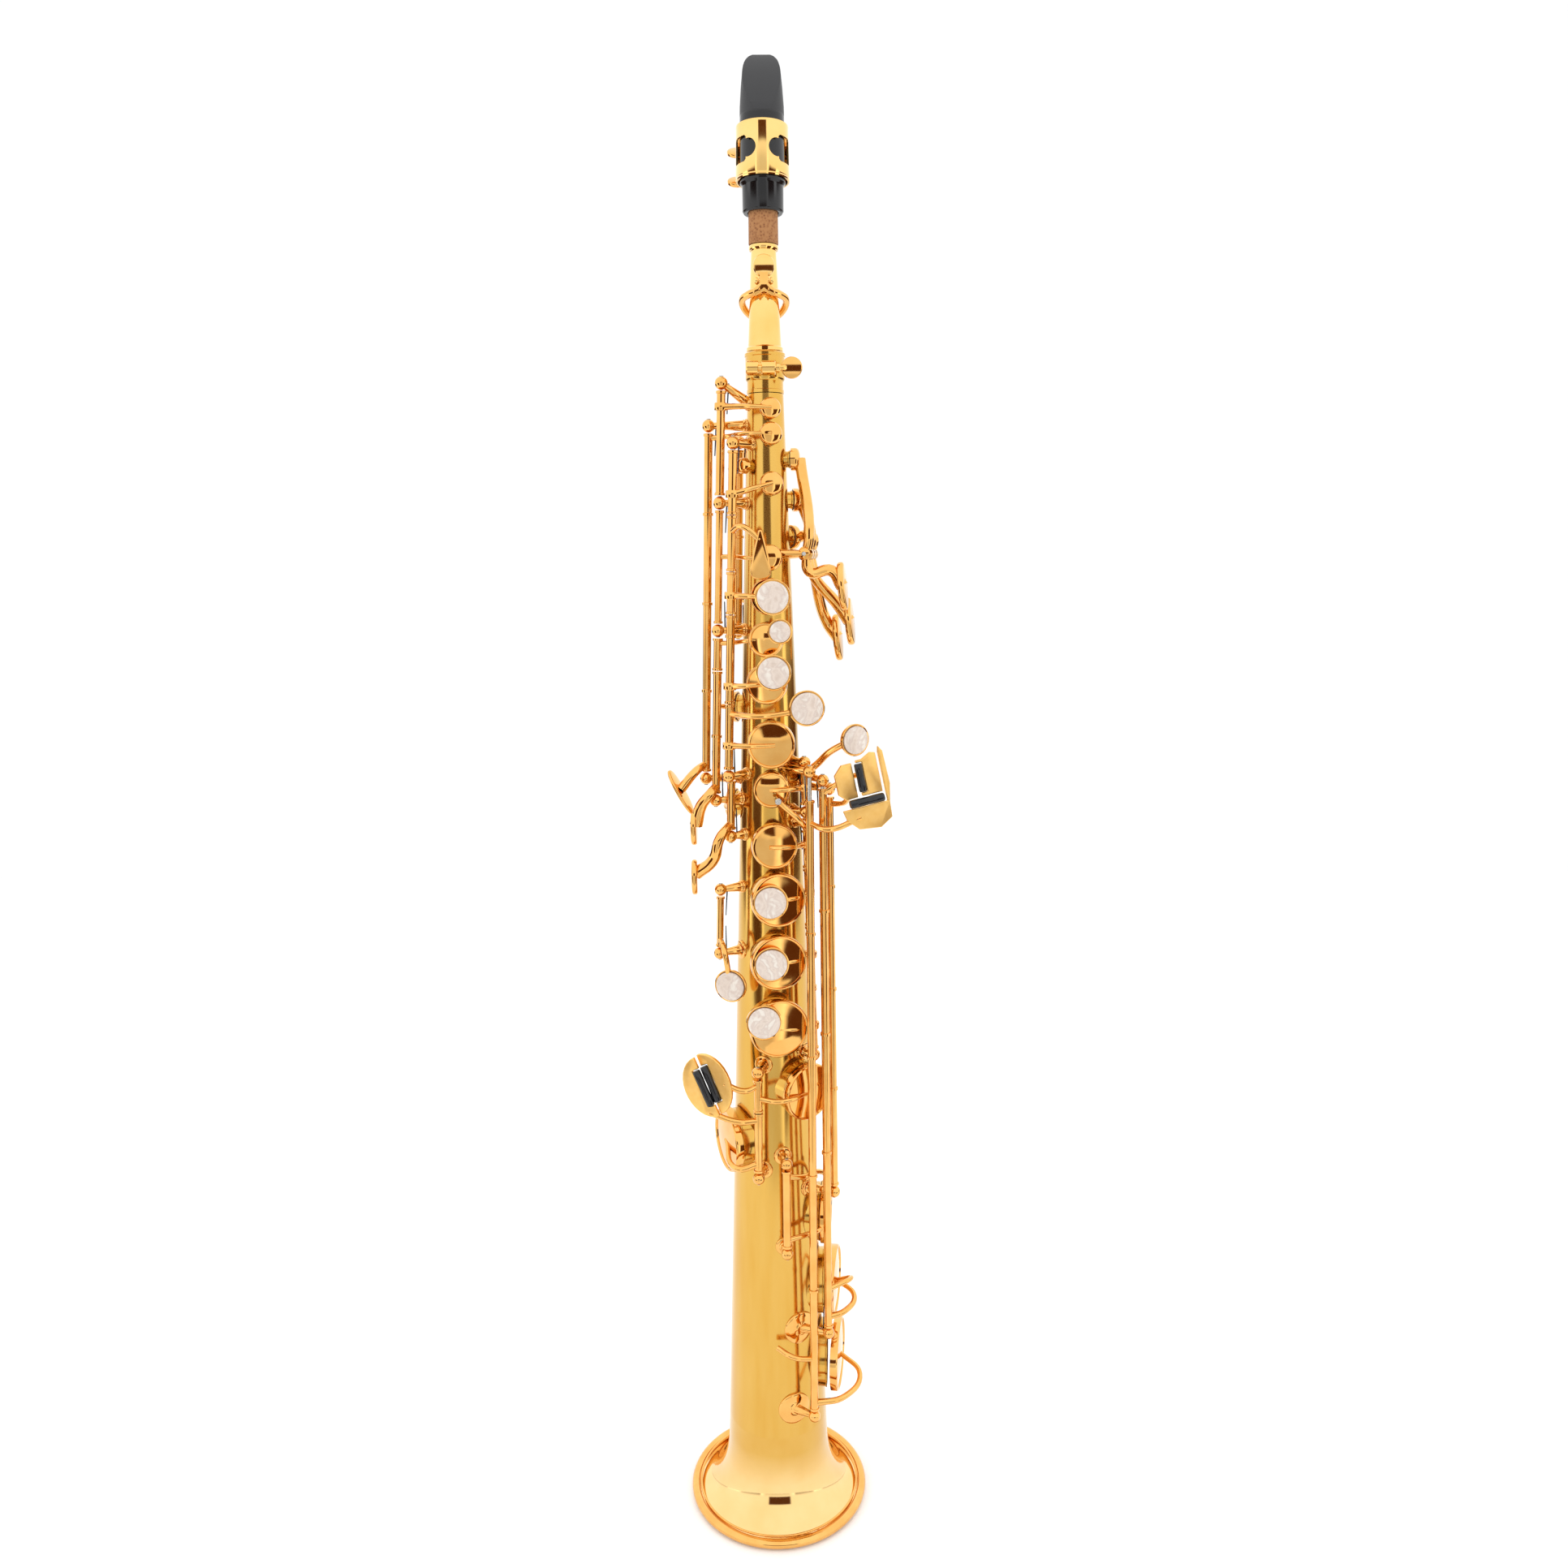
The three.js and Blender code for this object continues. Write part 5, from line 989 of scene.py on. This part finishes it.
for z in screw_heights.values():
    for x in (-2.5, 2.5):
        lugs.append(turned(polished_brass, [
            (1.5, -0.8), (2.6, -0.8), (2.9, -0.5), (2.9, 0.5), (2.6, 0.8), (1.5, 0.8), (1.5, -0.8)],
            (x, 17, z), (1, 0, 0), 28))
        lugs.append(plate([(-1.9, -2.2), (1.2, -2.2), (1.2, 2.2), (-1.9, 2.2)],
                          (x, 14.4, z), *side_plane, 1.6, 0.2))
settle(lugs, "ligature_band", "mouthpiece", "lacquered_brass", "ligature", smooth=35)
for name, z in screw_heights.items():
    shank = turned(polished_brass, [(0, -4.4), (1.15, -4.4), (1.15, 3.5), (2.3, 3.6), (2.3, 4.8), (1.4, 5.0),
                                    (1.3, 7), (1.7, 8.4), (0, 9.2)], (0, 17, z), (-1, 0, 0), 24)
    thumb = plate(oval(4.6, 3.8), (-11, 17, z), (1, 0, 0), (0, math.cos(0.7), math.sin(0.7)), 1.8, 0.5)
    settle([shank, thumb], f"ligature_{name}_thumbscrew", f"ligature_screw_{name}", "lacquered_brass",
           f"ligature_screw_{name}")

# ---- Hinge rods and springs: ground steel and blued steel ----
# They pass through the posts and the hinge tubes of the stacks and the longest keys. Blued needle
# springs reach from each post along the inner side of its hinge tube.
for name, line in {"left_stack_rod": left_line, "right_stack_rod": right_line,
                   "low_b_flat_rod": low_b_flat_line, "low_b_rod": low_b_line}.items():
    length = (line.top - line.bottom).length + 3.2
    shaft = turned(plated_steel, [(0, 0), (0.7, 0), (1.0, 0.4), (1.0, length - 0.35), (0.85, length),
                                  (0, length)],
                   line.bottom - line.along * 1.6, line.along, 20)
    settle([shaft], name + "_shaft", "body", "steel", name)
blued_steel, tree, shader, coords = finish("blued_spring_steel")
temper = noise(tree, coords, 300.0, 2.0)
tint(tree, shader, temper, (0.3, "#2B3342"), (0.7, "#4A4E63"))
preset(shader, metallic=1.0, roughness=0.22)
needles = []
for line in hinge_lines:
    middle = (line.top.z + line.bottom.z) / 2
    for place in line.posts:
        z = place[0] if isinstance(place, tuple) else place
        centre = line.at(z)
        inward = -Vector((centre.x, centre.y, 0)).normalized()
        run = line.along * (13 if z < middle else -13)
        needles.append(bar(blued_steel, centre + inward * 3.4, centre + inward * 2.9 + run, 0.38, 0.24, 0.1, 8))
settle(needles, "needle_springs", "body", "steel")
pin = turned(plated_steel, [(0, -10), (0.75, -10), (1.0, -9.7), (1.0, 9.7), (0.75, 10), (0, 10)],
             palm_point(0, 0, 0), palm_across, 20)
settle([pin], "palm_key_pin_shaft", "body", "steel", "palm_key_pin")
